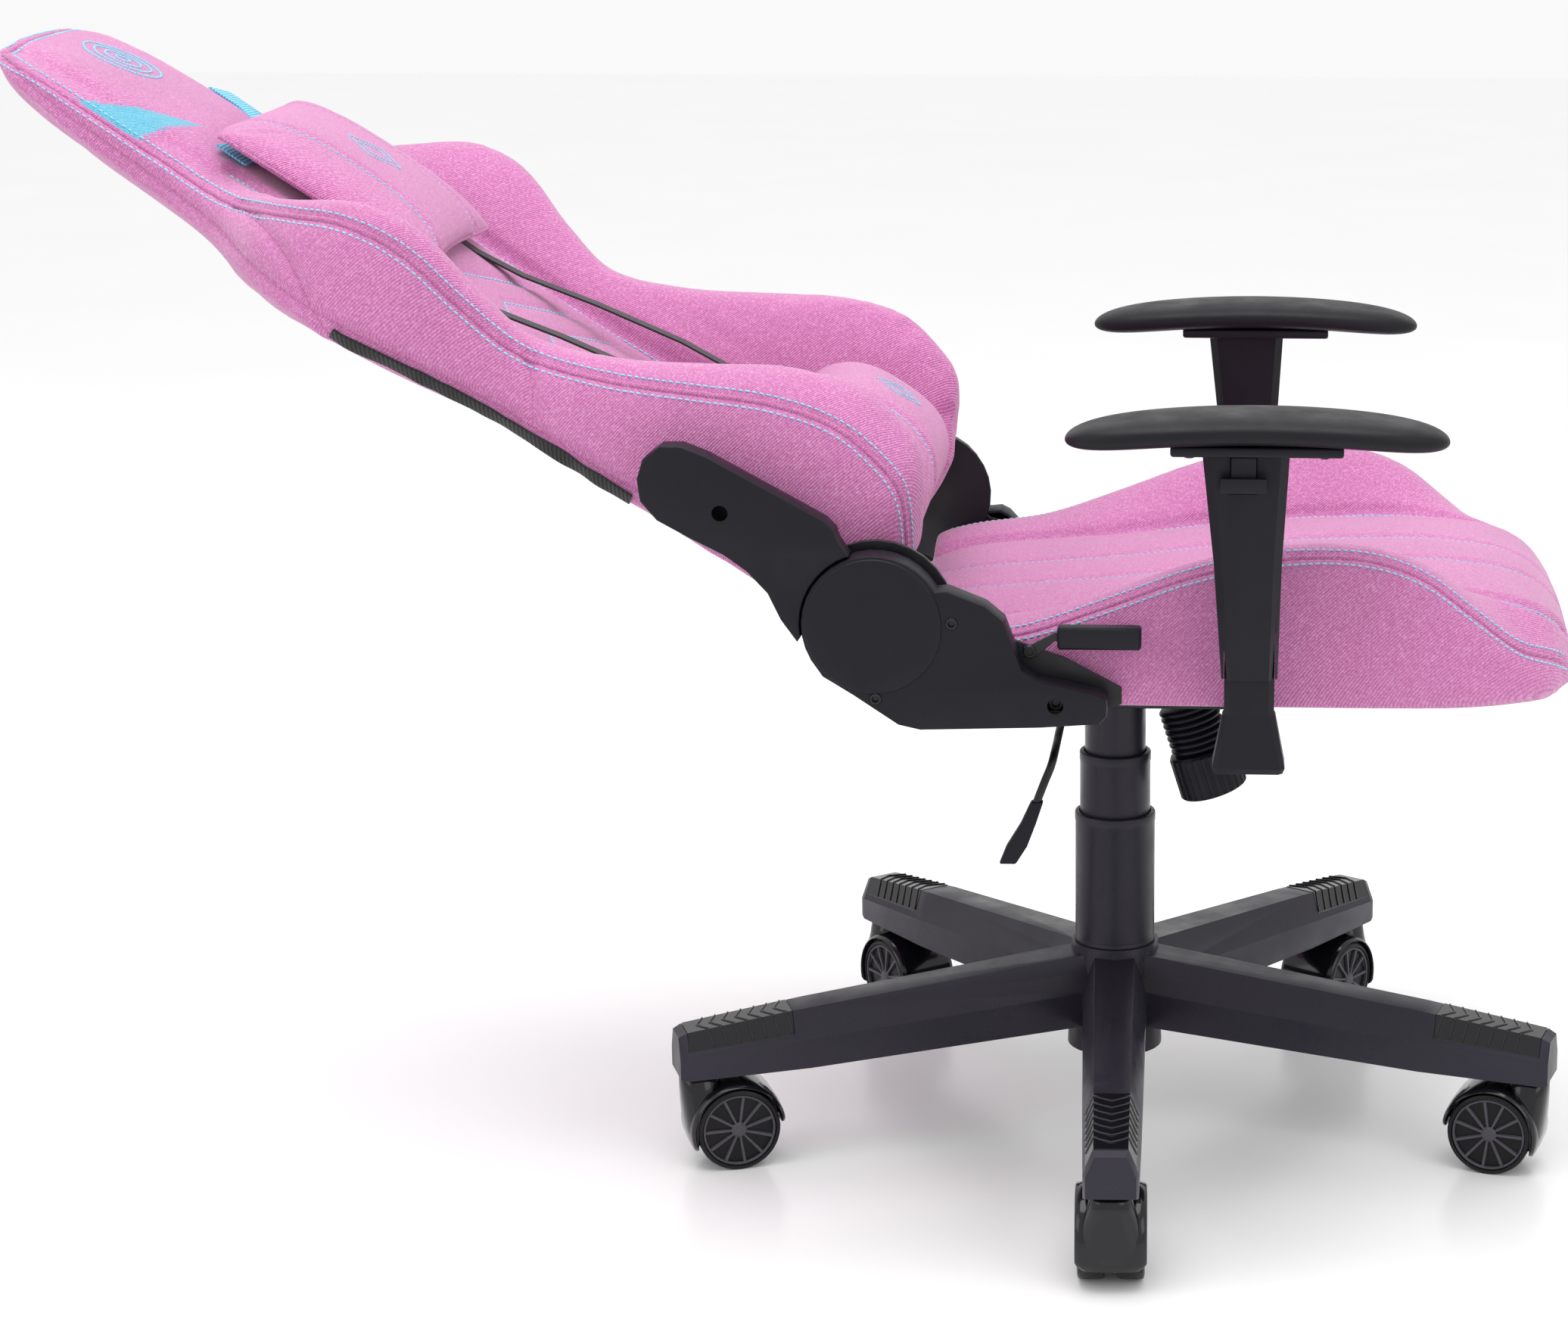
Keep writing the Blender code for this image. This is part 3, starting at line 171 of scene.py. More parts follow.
def moulded(name, colour, roughness, grain=900.0, depth=0.35, coat=0.0, spread=0.10):
    """Moulded plastic with a fine texture, its colour a little lighter along its sharp edges."""
    made, tree, shader, where = shader_of(name, roughness, Coat_Weight=coat, Coat_Roughness=0.08,
                                          Specular_IOR_Level=0.22)
    fine = noise(tree, where, grain, 2.0, 0.6)
    marks = noise(tree, where, 26.0, 4.0, 0.6)
    # the colour is lightened where the surface is sharply convex, along every edge of the moulding
    edge_pointiness = node(tree, "ShaderNodeNewGeometry").outputs["Pointiness"]
    edge = maths(tree, "MULTIPLY", ramp(tree, edge_pointiness, (0.50, 0.0), (0.58, 1.0)), 0.35)
    tone = mixed(tree, fine, times(colour, 0.75), times(colour, 1.30))
    tone = mixed(tree, edge, tone, times(colour, 2.0, 0.004))
    rough = ramp(tree, marks, (0.3, max(roughness - spread, 0.04)), (0.7, min(roughness + spread, 1)))
    return wired(made, tree, shader, tone, fine, depth, 0.0004, rough)


def steel(name, colour, roughness, metallic):
    made, tree, shader, where = shader_of(name, roughness, metallic)
    fine = noise(tree, where, 700.0, 2.0)
    marks = noise(tree, where, 40.0, 4.0)
    tone = mixed(tree, fine, times(colour, 0.8), times(colour, 1.2))
    rough = ramp(tree, marks, (0.3, roughness * 0.7), (0.7, min(roughness * 1.4, 1)))
    return wired(made, tree, shader, tone, fine, 0.15, 0.0002, rough)


def woven(name, dark, light, pitch=0.0016):
    """Webbing with cross ribs."""
    made, tree, shader, where = shader_of(name, 0.75, Sheen_Weight=0.2, Specular_IOR_Level=0.3)
    wave = {"Vector": where, "Scale": 2 * pi / (20 * pitch), "Distortion": 0.3}
    rib = node(tree, "ShaderNodeTexWave", wave, bands_direction="Y").outputs["Fac"]
    share = maths(tree, "MULTIPLY", rib, noise(tree, where, 1500.0, 2.0))
    return wired(made, tree, shader, ramp(tree, share, (0.1, dark), (0.6, light)), rib, 0.6, 0.0006)


def timber(name):
    made, tree, shader, where = shader_of(name, 0.6)
    wave = {"Vector": where, "Scale": 22.0, "Distortion": 6.0, "Detail": 3.0}
    grain = node(tree, "ShaderNodeTexWave", wave, bands_direction="X").outputs["Fac"]
    plies = node(tree, "ShaderNodeTexWave", {"Vector": where, "Scale": 180.0}, bands_direction="Z")
    colour = ramp(tree, grain, (0.1, (0.42, 0.27, 0.14)), (0.9, (0.66, 0.48, 0.30)))
    colour = mixed(tree, 0.3, colour, plies.outputs["Color"], "MULTIPLY")
    return wired(made, tree, shader, colour, grain, 0.2, 0.0003)


PINK = ((0.47, 0.120, 0.325), (0.57, 0.185, 0.415), (0.72, 0.350, 0.59))
MATERIALS = {
    "pink_fabric": twill("pink_twill", *PINK),
    "head_fabric": twill("pink_twill_printed", *PINK, patch=True),
    "piping": twill("pink_piping", (0.42, 0.095, 0.28), (0.52, 0.150, 0.36), (0.66, 0.290, 0.52)),
    "under_cloth": woven("under_cloth", (0.010, 0.010, 0.011), (0.035, 0.035, 0.038), 0.0011),
    "black_plastic": moulded("black_moulding", (0.0050, 0.0042, 0.0078), 0.44),
    "base_nylon": moulded("base_nylon", (0.020, 0.0175, 0.027), 0.34, 700.0, 0.08),
    "gloss_black": moulded("gloss_black", (0.0040, 0.0038, 0.0055), 0.16, 300.0, 0.02, 0.35, 0.03),
    "wheel": moulded("wheel_tread", (0.0050, 0.0048, 0.0060), 0.38, 600.0, 0.15),
    "rim": moulded("wheel_rim", (0.050, 0.047, 0.056), 0.30, 600.0, 0.10),
    "black_steel": steel("powder_coat", (0.008, 0.008, 0.010), 0.40, 0.25),
    "bright_steel": steel("bright_steel", (0.62, 0.62, 0.64), 0.18, 1.0),
    "plywood": timber("plywood"),
    "black_webbing": woven("black_webbing", (0.006, 0.006, 0.007), (0.030, 0.030, 0.034)),
    "blue_webbing": woven("blue_webbing", (0.06, 0.34, 0.52), (0.25, 0.66, 0.82), 0.0024),
    "arm_pad": moulded("soft_pad", (0.0045, 0.0038, 0.0062), 0.46, 1100.0, 0.40),
    "zip": woven("zip", (0.004, 0.004, 0.004), (0.02, 0.02, 0.022), 0.0030),
    "thread": woven("blue_thread", (0.22, 0.62, 0.80), (0.42, 0.80, 0.92), 0.0008),
}


# ------------------------------------------------------------------ mesh building
class Shape:
    """Collects closed shells into one mesh."""

    def __init__(self):
        self.points, self.faces, self.slots = [], [], []

    def add(self, points, faces, matrix=None, slot=0):
        start = len(self.points)
        self.points += [tuple(matrix @ Vector(p)) if matrix else tuple(p) for p in points]
        self.faces += [[start + i for i in face] for face in faces]
        self.slots += [slot] * len(faces)
        return self

    def lathe(self, profile, steps=64, matrix=None, slot=0, modulate=None):
        """A profile of (radius, height) points turned about Z, closed where it ends off the axis."""
        points = []
        for k in range(steps):
            angle = 2 * pi * k / steps
            for radius, height in profile:
                r = radius * (modulate(angle, height) if modulate else 1)
                points.append((r * cos(angle), r * sin(angle), height))
        count = len(profile)
        closed = profile[0][0] > 1e-7 or profile[-1][0] > 1e-7
        faces = []
        for k in range(steps):
            a, b = k * count, (k + 1) % steps * count
            for i in range(count if closed else count - 1):
                j = (i + 1) % count
                faces.append([a + i, b + i, b + j, a + j])
        return self.add(points, faces, matrix, slot)

    def loft(self, rings, matrix=None, slot=0, closed=False):
        """A skin through rings of points, with ends unless it closes on itself."""
        count, total = len(rings[0]), len(rings)
        points = [p for ring in rings for p in ring]
        faces = []
        for k in range(total if closed else total - 1):
            a, b = k * count, (k + 1) % total * count
            for i in range(count):
                j = (i + 1) % count
                faces.append([a + i, a + j, b + j, b + i])
        if not closed:
            faces += [list(range(count))[::-1], [(total - 1) * count + i for i in range(count)]]
        return self.add(points, faces, matrix, slot)

    def tube(self, path, radius, sides=10, matrix=None, closed=False, flat=1.0):
        """A round bar along a path. flat squashes its section."""
        path = [Vector(p) for p in path]
        turns = [2 * pi * k / sides for k in range(sides)]
        total = len(path)
        rings = []
        side = None
        for i, point in enumerate(path):
            before = path[(i - 1) % total] if closed or i else path[0]
            after = path[(i + 1) % total] if closed or i < total - 1 else path[-1]
            along = (after - before).normalized()
            side = (side - along * side.dot(along) if side else along.orthogonal()).normalized()
            up = along.cross(side)
            rings.append([point + side * cos(q) * radius + up * sin(q) * radius * flat for q in turns])
        return self.loft(rings, matrix, closed=closed)

    def box(self, low, high):
        (x0, y0, z0), (x1, y1, z1) = low, high
        points = [(x, y, z) for x in (x0, x1) for y in (y0, y1) for z in (z0, z1)]
        faces = [[0, 1, 3, 2], [4, 6, 7, 5], [0, 4, 5, 1], [2, 3, 7, 6], [0, 2, 6, 4], [1, 5, 7, 3]]
        return self.add(points, faces)

    def object(self, name, materials, smooth=38, bevel=0.0, segments=2):
        bm = bmesh.new()
        made = [bm.verts.new(p) for p in self.points]
        for face, which in zip(self.faces, self.slots):
            bm.faces.new([made[i] for i in face]).material_index = which
        bmesh.ops.remove_doubles(bm, verts=bm.verts, dist=1e-6)
        bmesh.ops.recalc_face_normals(bm, faces=bm.faces)
        mesh = bpy.data.meshes.new(name)
        bm.to_mesh(mesh)
        bm.free()
        return finished(name, mesh, materials, smooth, bevel, segments)


def finished(name, mesh, materials, smooth=38, bevel=0.0, segments=2):
    """An object with its materials, its edges sharp over an angle in degrees, and a bevel."""
    obj = bpy.data.objects.new(name, mesh)
    bpy.context.scene.collection.objects.link(obj)
    for key in materials if isinstance(materials, list) else [materials]:
        mesh.materials.append(MATERIALS[key])
    mesh.shade_smooth()
    if smooth < 180:
        mesh.set_sharp_from_angle(angle=radians(smooth))
    if bevel:
        step = obj.modifiers.new("bevel", "BEVEL")
        step.width = bevel
        step.segments = segments
        step.limit_method = "ANGLE"
        step.angle_limit = radians(28)
        step.harden_normals = True
    return obj


def put(obj, body, slot, *nodes):
    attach(obj, body)
    if nodes:
        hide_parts(*nodes)
    return obj


def stand_in(obj, cad):
    """Puts a piece in place of one CAD node, on its body."""
    return put(obj, BODY_OF[cad], SLOT_OF[cad], cad)


def refined(name, cad, material, bevel=0.0006, segments=2, smooth=38):
    """A CAD node's own shape with its edges broken, in place of the plain solid."""
    bm = bmesh.new()
    bm.from_mesh(frame["nodes"][cad].data)
    bmesh.ops.remove_doubles(bm, verts=bm.verts, dist=1e-5)
    bmesh.ops.dissolve_limit(bm, angle_limit=radians(0.6), verts=bm.verts, edges=bm.edges)
    mesh = bpy.data.meshes.new(name)
    bm.to_mesh(mesh)
    bm.free()
    return stand_in(finished(name, mesh, material, smooth, bevel, segments), cad)


# ------------------------------------------------------------------ curves through stations
def through(values, at, wanted):
    """Smooth values at the wanted places, through the given values (first axis) at the given places."""
    values, at, wanted = np.asarray(values, float), np.asarray(at, float), np.asarray(wanted, float)
    slope = np.empty_like(values)
    slope[1:-1] = (values[2:] - values[:-2]) / (at[2:] - at[:-2]).reshape((-1,) + (1,) * (values.ndim - 1))
    slope[0] = (values[1] - values[0]) / (at[1] - at[0])
    slope[-1] = (values[-1] - values[-2]) / (at[-1] - at[-2])
    i = np.clip(np.searchsorted(at, wanted, side="right") - 1, 0, len(at) - 2)
    span = (at[i + 1] - at[i])
    t = ((wanted - at[i]) / span)
    shape = (-1,) + (1,) * (values.ndim - 1)
    t, span = t.reshape(shape), span.reshape(shape)
    return ((2 * t**3 - 3 * t**2 + 1) * values[i] + (t**3 - 2 * t**2 + t) * span * slope[i]
            + (-2 * t**3 + 3 * t**2) * values[i + 1] + (t**3 - t**2) * span * slope[i + 1])


def chord(points):
    steps = np.linalg.norm(np.diff(np.asarray(points, float), axis=0), axis=1)
    return np.concatenate([[0], np.cumsum(steps)])


def resampled(path, step):
    path = np.asarray(path, float)
    length = chord(path)
    keep = np.concatenate([[True], np.diff(length) > 1e-7])
    path, length = path[keep], length[keep]
    wanted = np.linspace(0, length[-1], max(int(length[-1] / step), 2) + 1)
    return np.stack([np.interp(wanted, length, path[:, k]) for k in range(3)], axis=1)


class Skin:
    """A closed upholstered form: half rings of control points at stations, mirrored and made smooth."""

    def __init__(self, half_rings, stations, matrix, rows=90):
        self.half = np.asarray(half_rings, float)       # station, control point, xyz
        self.at = np.asarray(stations, float)
        self.params = chord(self.half.mean(axis=0))
        self.matrix = matrix
        self.rows = rows

    def spot(self, station, param, side):
        """The nominal form at a station, at one place round its ring, on one side of the chair."""
        ring = through(self.half, self.at, [station])[0]
        point = through(ring, self.params, [param])[0]
        return self.matrix @ Vector((point[0] * side, point[1], point[2]))

    def line(self, param, low, high, side):
        """A line on the nominal form, up the stations at one place round the ring."""
        count = max(int(abs(high - low) / 0.004), 8)
        return [self.spot(s, param, side) for s in np.linspace(low, high, count)]

    def slanted(self, start, end, side, count):
        """A line on the nominal form between two places, each a station and a place round the ring."""
        (s0, p0), (s1, p1) = start, end
        return [self.spot(s0 + (s1 - s0) * t, p0 + (p1 - p0) * t, side) for t in np.linspace(0, 1, count)]

    def rings(self):
        rows = np.linspace(self.at[0], self.at[-1], self.rows)
        whole = self.params[-1]
        columns = [np.linspace(a, b, max(int(64 * (b - a) / whole), 2), endpoint=False)
                   for a, b in zip(self.params, self.params[1:])]
        grid = through(self.half, self.at, rows)                             # row, control point, xyz
        grid = through(np.swapaxes(grid, 0, 1), self.params, np.concatenate(columns + [[whole]]))
        grid = np.swapaxes(grid, 0, 1)                                       # row, column, xyz
        mirror = grid[:, ::-1][:, 1:-1].copy()
        mirror[..., 0] *= -1
        return [[self.matrix @ Vector(p) for p in row] for row in np.concatenate([grid, mirror], axis=1)]


# ------------------------------------------------------------------ upholstery
def coords_of(mesh):
    found = np.empty(len(mesh.vertices) * 3)
    mesh.vertices.foreach_get("co", found)
    return found.reshape(-1, 3)


def evaluated(obj):
    graph = bpy.context.evaluated_depsgraph_get()
    graph.update()
    return bpy.data.meshes.new_from_object(obj.evaluated_get(graph))


def apply_modifiers(obj):
    mesh = evaluated(obj)
    obj.modifiers.clear()
    obj.data = mesh


def distances(points, lines):
    """How far each point is from the nearest point of the lines."""
    tree = KDTree(sum(len(line) for line in lines))
    for i, spot in enumerate(p for line in lines for p in line):
        tree.insert(spot, i)
    tree.balance()
    return np.array([tree.find(p)[2] for p in points])


HELD_REACH = 0.007      # cloth this near a seam does not move
CLOTH_FRAMES = 20


def stuffed(name, shape, material, seams, held=None, voxel=0.006, cap=0.010, pressure=4.0):
    """Remeshes a form, blows it up a little as cloth between its seams, and adds one subdivision."""
    obj = shape.object(name, material, smooth=180)
    step = obj.modifiers.new("remesh", "REMESH")
    step.mode = "VOXEL"
    step.voxel_size = voxel
    step.use_smooth_shade = True
    apply_modifiers(obj)
    before = coords_of(obj.data)
    fixed = distances(before, seams) < HELD_REACH
    if held is not None:
        fixed |= np.array([held(Vector(p)) for p in before])
    group = obj.vertex_groups.new(name="held")
    group.add([int(i) for i in np.nonzero(fixed)[0]], 1.0, "REPLACE")
    cloth = obj.modifiers.new("cloth", "CLOTH")
    s = cloth.settings
    s.quality = 4
    s.mass = 0.3
    s.tension_stiffness = 8
    s.compression_stiffness = 8
    s.shear_stiffness = 3
    s.bending_stiffness = 0.3
    s.use_pressure = True
    s.uniform_pressure_force = pressure
    s.effector_weights.gravity = 0
    s.vertex_group_mass = "held"
    cloth.collision_settings.use_collision = False
    for number in range(1, CLOTH_FRAMES + 1):
        bpy.context.scene.frame_set(number)
    move = coords_of(evaluated(obj)) - before
    size = np.linalg.norm(move, axis=1)
    move *= (np.minimum(size, cap) / np.maximum(size, 1e-9))[:, None]
    obj.modifiers.clear()
    obj.data.vertices.foreach_set("co", (before + move).ravel())
    bpy.context.scene.frame_set(1)
    step = obj.modifiers.new("fine", "SUBSURF")
    step.levels = 1
    step.render_levels = 1
    apply_modifiers(obj)
    obj.data.shade_smooth()
    return obj


def grooved(obj, lines, reach, depth):
    """Draws the surface in along sewn lines."""
    mesh = obj.data
    points = coords_of(mesh)
    normals = np.array([v.normal for v in mesh.vertices])
    pull = np.clip(1 - (distances(points, lines) / reach) ** 2, 0, 1) ** 2 * depth
    mesh.vertices.foreach_set("co", (points - normals * pull[:, None]).ravel())
    mesh.update()


def surface_of(obj):
    mesh = obj.data
    return BVHTree.FromPolygons([v.co for v in mesh.vertices], [p.vertices for p in mesh.polygons])


def laid(tree, line, step=0.003, rounds=6):
    """A line moved onto a surface, made even and smooth: points and normals."""
    placed = [tree.find_nearest(Vector(p)) for p in resampled([tuple(p) for p in line], step)]
    spots = np.array([hit[0] for hit in placed])
    for _ in range(rounds):
        spots[1:-1] = (spots[:-2] + spots[1:-1] * 2 + spots[2:]) / 4
    normals = np.array([hit[1] for hit in placed])
    for _ in range(rounds):
        normals[1:-1] = normals[:-2] + normals[1:-1] * 2 + normals[2:]
        normals /= np.linalg.norm(normals, axis=1)[:, None]
    return [Vector(p) for p in spots], [Vector(n) for n in normals]


def projected(tree, flat_points, out):
    """Points (x, along) of the back's plane, dropped from in front onto a surface."""
    hits = [tree.ray_cast(BACK @ Vector((x, out, along)), -OUT)[0] for x, along in flat_points]
    return [hit for hit in hits if hit]


def heading(spots, i):
    return (spots[min(i + 1, len(spots) - 1)] - spots[max(i - 1, 0)]).normalized()


def beside(spots, normals, offset):
    return [p + heading(spots, i).cross(n).normalized() * offset
            for i, (p, n) in enumerate(zip(spots, normals))]


def stitches(shape, tree, line, pitch=0.0050, length=0.0036, radius=0.00075):
    """Short thread dashes on a surface, along a line."""
    lift, sunk = 0.0003, radius * 0.8
    spots, normals = laid(tree, line, pitch, 2)
    for a, b, n in zip(spots, spots[1:], normals):
        along = b - a
        if along.length < 1e-5:
            continue
        along = along.normalized()
        side = along.cross(n).normalized()
        up = side.cross(along)
        middle = (a + b) / 2 + n * lift
        rings = []
        for t, w in ((-0.5, 0.45), (-0.32, 1.0), (0.32, 1.0), (0.5, 0.45)):     # place, thickness
            centre = middle + along * length * t - n * (sunk if abs(t) == 0.5 else 0)
            rings.append([centre + side * cos(q) * radius * w + up * sin(q) * radius * w
                          for q in (pi / 4, 3 * pi / 4, 5 * pi / 4, 7 * pi / 4)])
        shape.loft(rings)


def piped(shape, tree, line, radius=0.0024, sink=0.0006):
    """A welt along a line on a surface."""
    spots, normals = laid(tree, line)
    shape.tube([p - n * sink for p, n in zip(spots, normals)], radius, 8)
    return spots, normals


def sewn_on(shape, name, material, body):
    put(shape.object(name, material, smooth=180), body, "pink_fabric")


STITCH_OFFSET = 0.0060      # from a welt's middle to the rows of stitches beside it


def sewn(name, obj, body, welts, quilts, plain):
    """Piping with a row of stitches on both sides of it, plain rows of stitches, and plain seams."""
    tree = surface_of(obj)
    thread, welt = Shape(), Shape()
    for line in plain:
        piped(welt, tree, line, 0.0009, 0.0005)
    for line in welts:
        spots, normals = piped(welt, tree, line)
        for side in (-1, 1):
            stitches(thread, tree, beside(spots, normals, side * STITCH_OFFSET))
    for line in quilts:
        stitches(thread, tree, line)
    sewn_on(welt, f"{name}_piping", "piping", body)
    sewn_on(thread, f"{name}_stitching", "thread", body)


# seat ---------------------------------------------------------------
SEAT = (    # Y: half width, bolster crest across, crest, valley across, panel
    (0.150, 0.190, 0.152, 0.440, 0.118, 0.430),
    (0.120, 0.205, 0.168, 0.445, 0.130, 0.437),
    (0.060, 0.208, 0.176, 0.453, 0.132, 0.443),
    (0.000, 0.208, 0.178, 0.473, 0.132, 0.448),
    (-0.060, 0.208, 0.178, 0.495, 0.132, 0.455),
    (-0.120, 0.208, 0.178, 0.508, 0.132, 0.461),
    (-0.180, 0.208, 0.178, 0.509, 0.132, 0.464),
    (-0.225, 0.207, 0.176, 0.495, 0.132, 0.465),
    (-0.262, 0.203, 0.172, 0.467, 0.130, 0.463),
    (-0.296, 0.190, 0.162, 0.440, 0.130, 0.457),
    (-0.322, 0.168, 0.148, 0.428, 0.120, 0.444),
    (-0.337, 0.138, 0.120, 0.414, 0.098, 0.425),
)


def seat_skin():
    rings = []
    for y, half, crest_x, crest, valley_x, panel in SEAT:
        low = SEAT_BOTTOM + (0.010 if y in (SEAT[0][0], SEAT[-1][0]) else 0.0)
        half -= 0.002
        rings.append([
            (0, y, low), (half * 0.5, y, low), (half - 0.016, y, low), (half - 0.003, y, low + 0.008),
            (half, y, low + (crest - low) * 0.45), (half - 0.001, y, crest - 0.022),
            (half - 0.008, y, crest - 0.008), (crest_x, y, crest - 0.002),
            ((crest_x + valley_x) / 2, y, (crest + panel) / 2), (valley_x, y, panel - 0.002),
            (valley_x * 0.5, y, panel), (0, y, panel + 0.001)])
    return Skin(rings[::-1], [row[0] for row in SEAT[::-1]], CHAIR)


def under_seat(point):
    return point.z < SEAT_BOTTOM + 0.003


def seat_upholstery():
    skin = seat_skin()
    foot, edge, valley, middle = (skin.params[k] for k in (4, 6, 9, 11))
    welts, quilts, inner, front = [], [], [], []
    for side in (-1, 1):
        welts.append(skin.line(edge, -0.331, 0.145, side))
        inner.append(skin.line(valley, -0.334, 0.146, side))
        quilts.append(skin.line(middle - 0.034, -0.334, 0.147, side))
        front.append([skin.spot(-0.3345, q, side) for q in np.linspace(middle, foot, 40)])
    cushion = stuffed("seat_upholstery", Shape().loft(skin.rings()), ["pink_fabric", "under_cloth"],
                      welts + inner + quilts, under_seat, cap=0.009)
    grooved(cushion, inner, 0.010, 0.0045)
    grooved(cushion, welts, 0.007, 0.0020)
    grooved(cushion, quilts, 0.009, 0.0022)
    for face in cushion.data.polygons:
        if face.normal.z < -0.97 and face.center.z < SEAT_BOTTOM + 0.0015:
            face.material_index = 1
    for v in cushion.data.vertices:
        v.co.z = max(v.co.z, SEAT_BOTTOM)
    put(cushion, "seat", "pink_fabric", "seat_cushion")
    sewn("seat", cushion, "seat", welts, quilts + inner, front)


# back ---------------------------------------------------------------
BACK_ROWS = (   # along the back: half width, crest across, crest, valley across, panel
    (0.000, 0.180, 0.150, 0.050, 0.112, 0.000),
    (0.030, 0.201, 0.160, 0.101, 0.120, 0.004),
    (0.060, 0.204, 0.162, 0.116, 0.120, 0.006),
    (0.100, 0.205, 0.163, 0.121, 0.120, 0.005),
    (0.145, 0.204, 0.164, 0.107, 0.122, 0.000),
    (0.190, 0.201, 0.165, 0.081, 0.124, -0.004),
    (0.250, 0.194, 0.165, 0.046, 0.126, -0.007),
    (0.310, 0.190, 0.166, 0.024, 0.128, -0.008),
    (0.360, 0.200, 0.176, 0.033, 0.130, -0.007),
    (0.415, 0.214, 0.190, 0.049, 0.132, -0.006),
    (0.460, 0.214, 0.192, 0.043, 0.132, -0.005),
    (0.505, 0.192, 0.176, 0.014, 0.128, -0.004),
    (0.545, 0.150, 0.134, -0.013, 0.114, -0.005),
    (0.600, 0.124, 0.106, -0.021, 0.090, -0.011),
    (0.690, 0.119, 0.100, -0.022, 0.084, -0.014),
    (0.730, 0.109, 0.090, -0.026, 0.068, -0.018),
    (0.750, 0.088, 0.072, -0.032, 0.050, -0.027),
)
REAR = ((0.000, 0.038), (0.190, 0.043), (0.300, 0.048), (0.420, 0.055), (0.600, 0.062), (0.690, 0.058),
        (0.737, 0.053), (0.755, 0.048))


def back_skin():
    rings = []
    for along, half, crest_x, crest, valley_x, panel in BACK_ROWS:
        rear = -float(np.interp(along, *zip(*REAR)))
        half -= 0.001
        rings.append([
            (0, rear + 0.001, along), (half * 0.5, rear + 0.001, along), (half - 0.018, rear + 0.002, along),
            (half - 0.004, rear + 0.008, along), (half, rear + 0.020, along),
            (half, rear + 0.020 + (crest - rear - 0.020) * 0.5, along),
            (half - 0.006, crest - (crest - rear) * 0.16, along),
            (crest_x + (half - crest_x) * 0.30, crest - 0.002, along),
            (crest_x - 0.010, crest - 0.002, along),
            ((crest_x - 0.01) * 0.4 + valley_x * 0.6, (crest * 0.45 + panel * 0.55), along),
            (valley_x - 0.002, panel - 0.001, along), (valley_x * 0.5, panel, along),
            (0, panel + 0.001, along)])
    return Skin(rings, [row[0] for row in BACK_ROWS], BACK, rows=130)


PATCH_ACROSS = (0.052, 0.1115)      # the printed patch's place, from the middle outwards and up the back
PATCH_ALONG = (0.56, 0.70)
PATCH_EDGE = 0.112
PATCH_CENTRE = 0.655
PATCH_WIDTH = 0.036
EMBLEM_AT = 0.688
ZIP_SECTION = ((0.0055, -0.001), (0.0050, 0.0010), (0.0, 0.0016), (-0.0050, 0.0010), (-0.0055, -0.001))


def printed_patch(back):
    """The print on both sides of the head: wide at the side seam, with a tail towards the pillow."""
    inverse = BACK.inverted()
    values = []
    for v in back.data.vertices:
        x, _, along = inverse @ v.co
        across = abs(x)
        centre = PATCH_CENTRE - (PATCH_EDGE - across) * 0.9
        width = PATCH_WIDTH - max(PATCH_EDGE - across, 0) * 0.62
        share = (1 - abs(along - centre) / max(width, 0.001)) * 1.6
        inside = PATCH_ACROSS[0] < across < PATCH_ACROSS[1] and PATCH_ALONG[0] < along < PATCH_ALONG[1]
        values.append(max(0.0, min(share, 1.0)) if inside and v.normal.dot(OUT) > 0.45 else 0.0)
    back.data.attributes.new("patch", "FLOAT", "POINT").data.foreach_set("value", values)


def head_emblem(tree):
    """Plain sewn rings, one inside the other."""
    emblem = Shape()
    for radius in (0.030, 0.022, 0.014, 0.006):
        ring = [(radius * cos(q), EMBLEM_AT + radius * sin(q)) for q in np.linspace(0, 2 * pi, 40)]
        stitches(emblem, tree, projected(tree, ring, 0.20), 0.0026, 0.0024, 0.0010)
    sewn_on(emblem, "head_emblem", "thread", "back")


def cover_zips(skin, tree):
    """The black zip of the cover, low on both sides."""
    strips = Shape()
    for side in (-1, 1):
        line = [skin.spot(s, skin.params[3] + 0.004, side) for s in np.linspace(0.190, 0.427, 50)]
        spots, normals = laid(tree, line)
        rings = []
        for i, (a, n) in enumerate(zip(spots, normals)):
            across = heading(spots, i).cross(n).normalized()
            rings.append([a + across * w + n * rise for w, rise in ZIP_SECTION])
        strips.loft(rings)
    put(strips.object("back_zip", "zip"), "back", "pink_fabric")


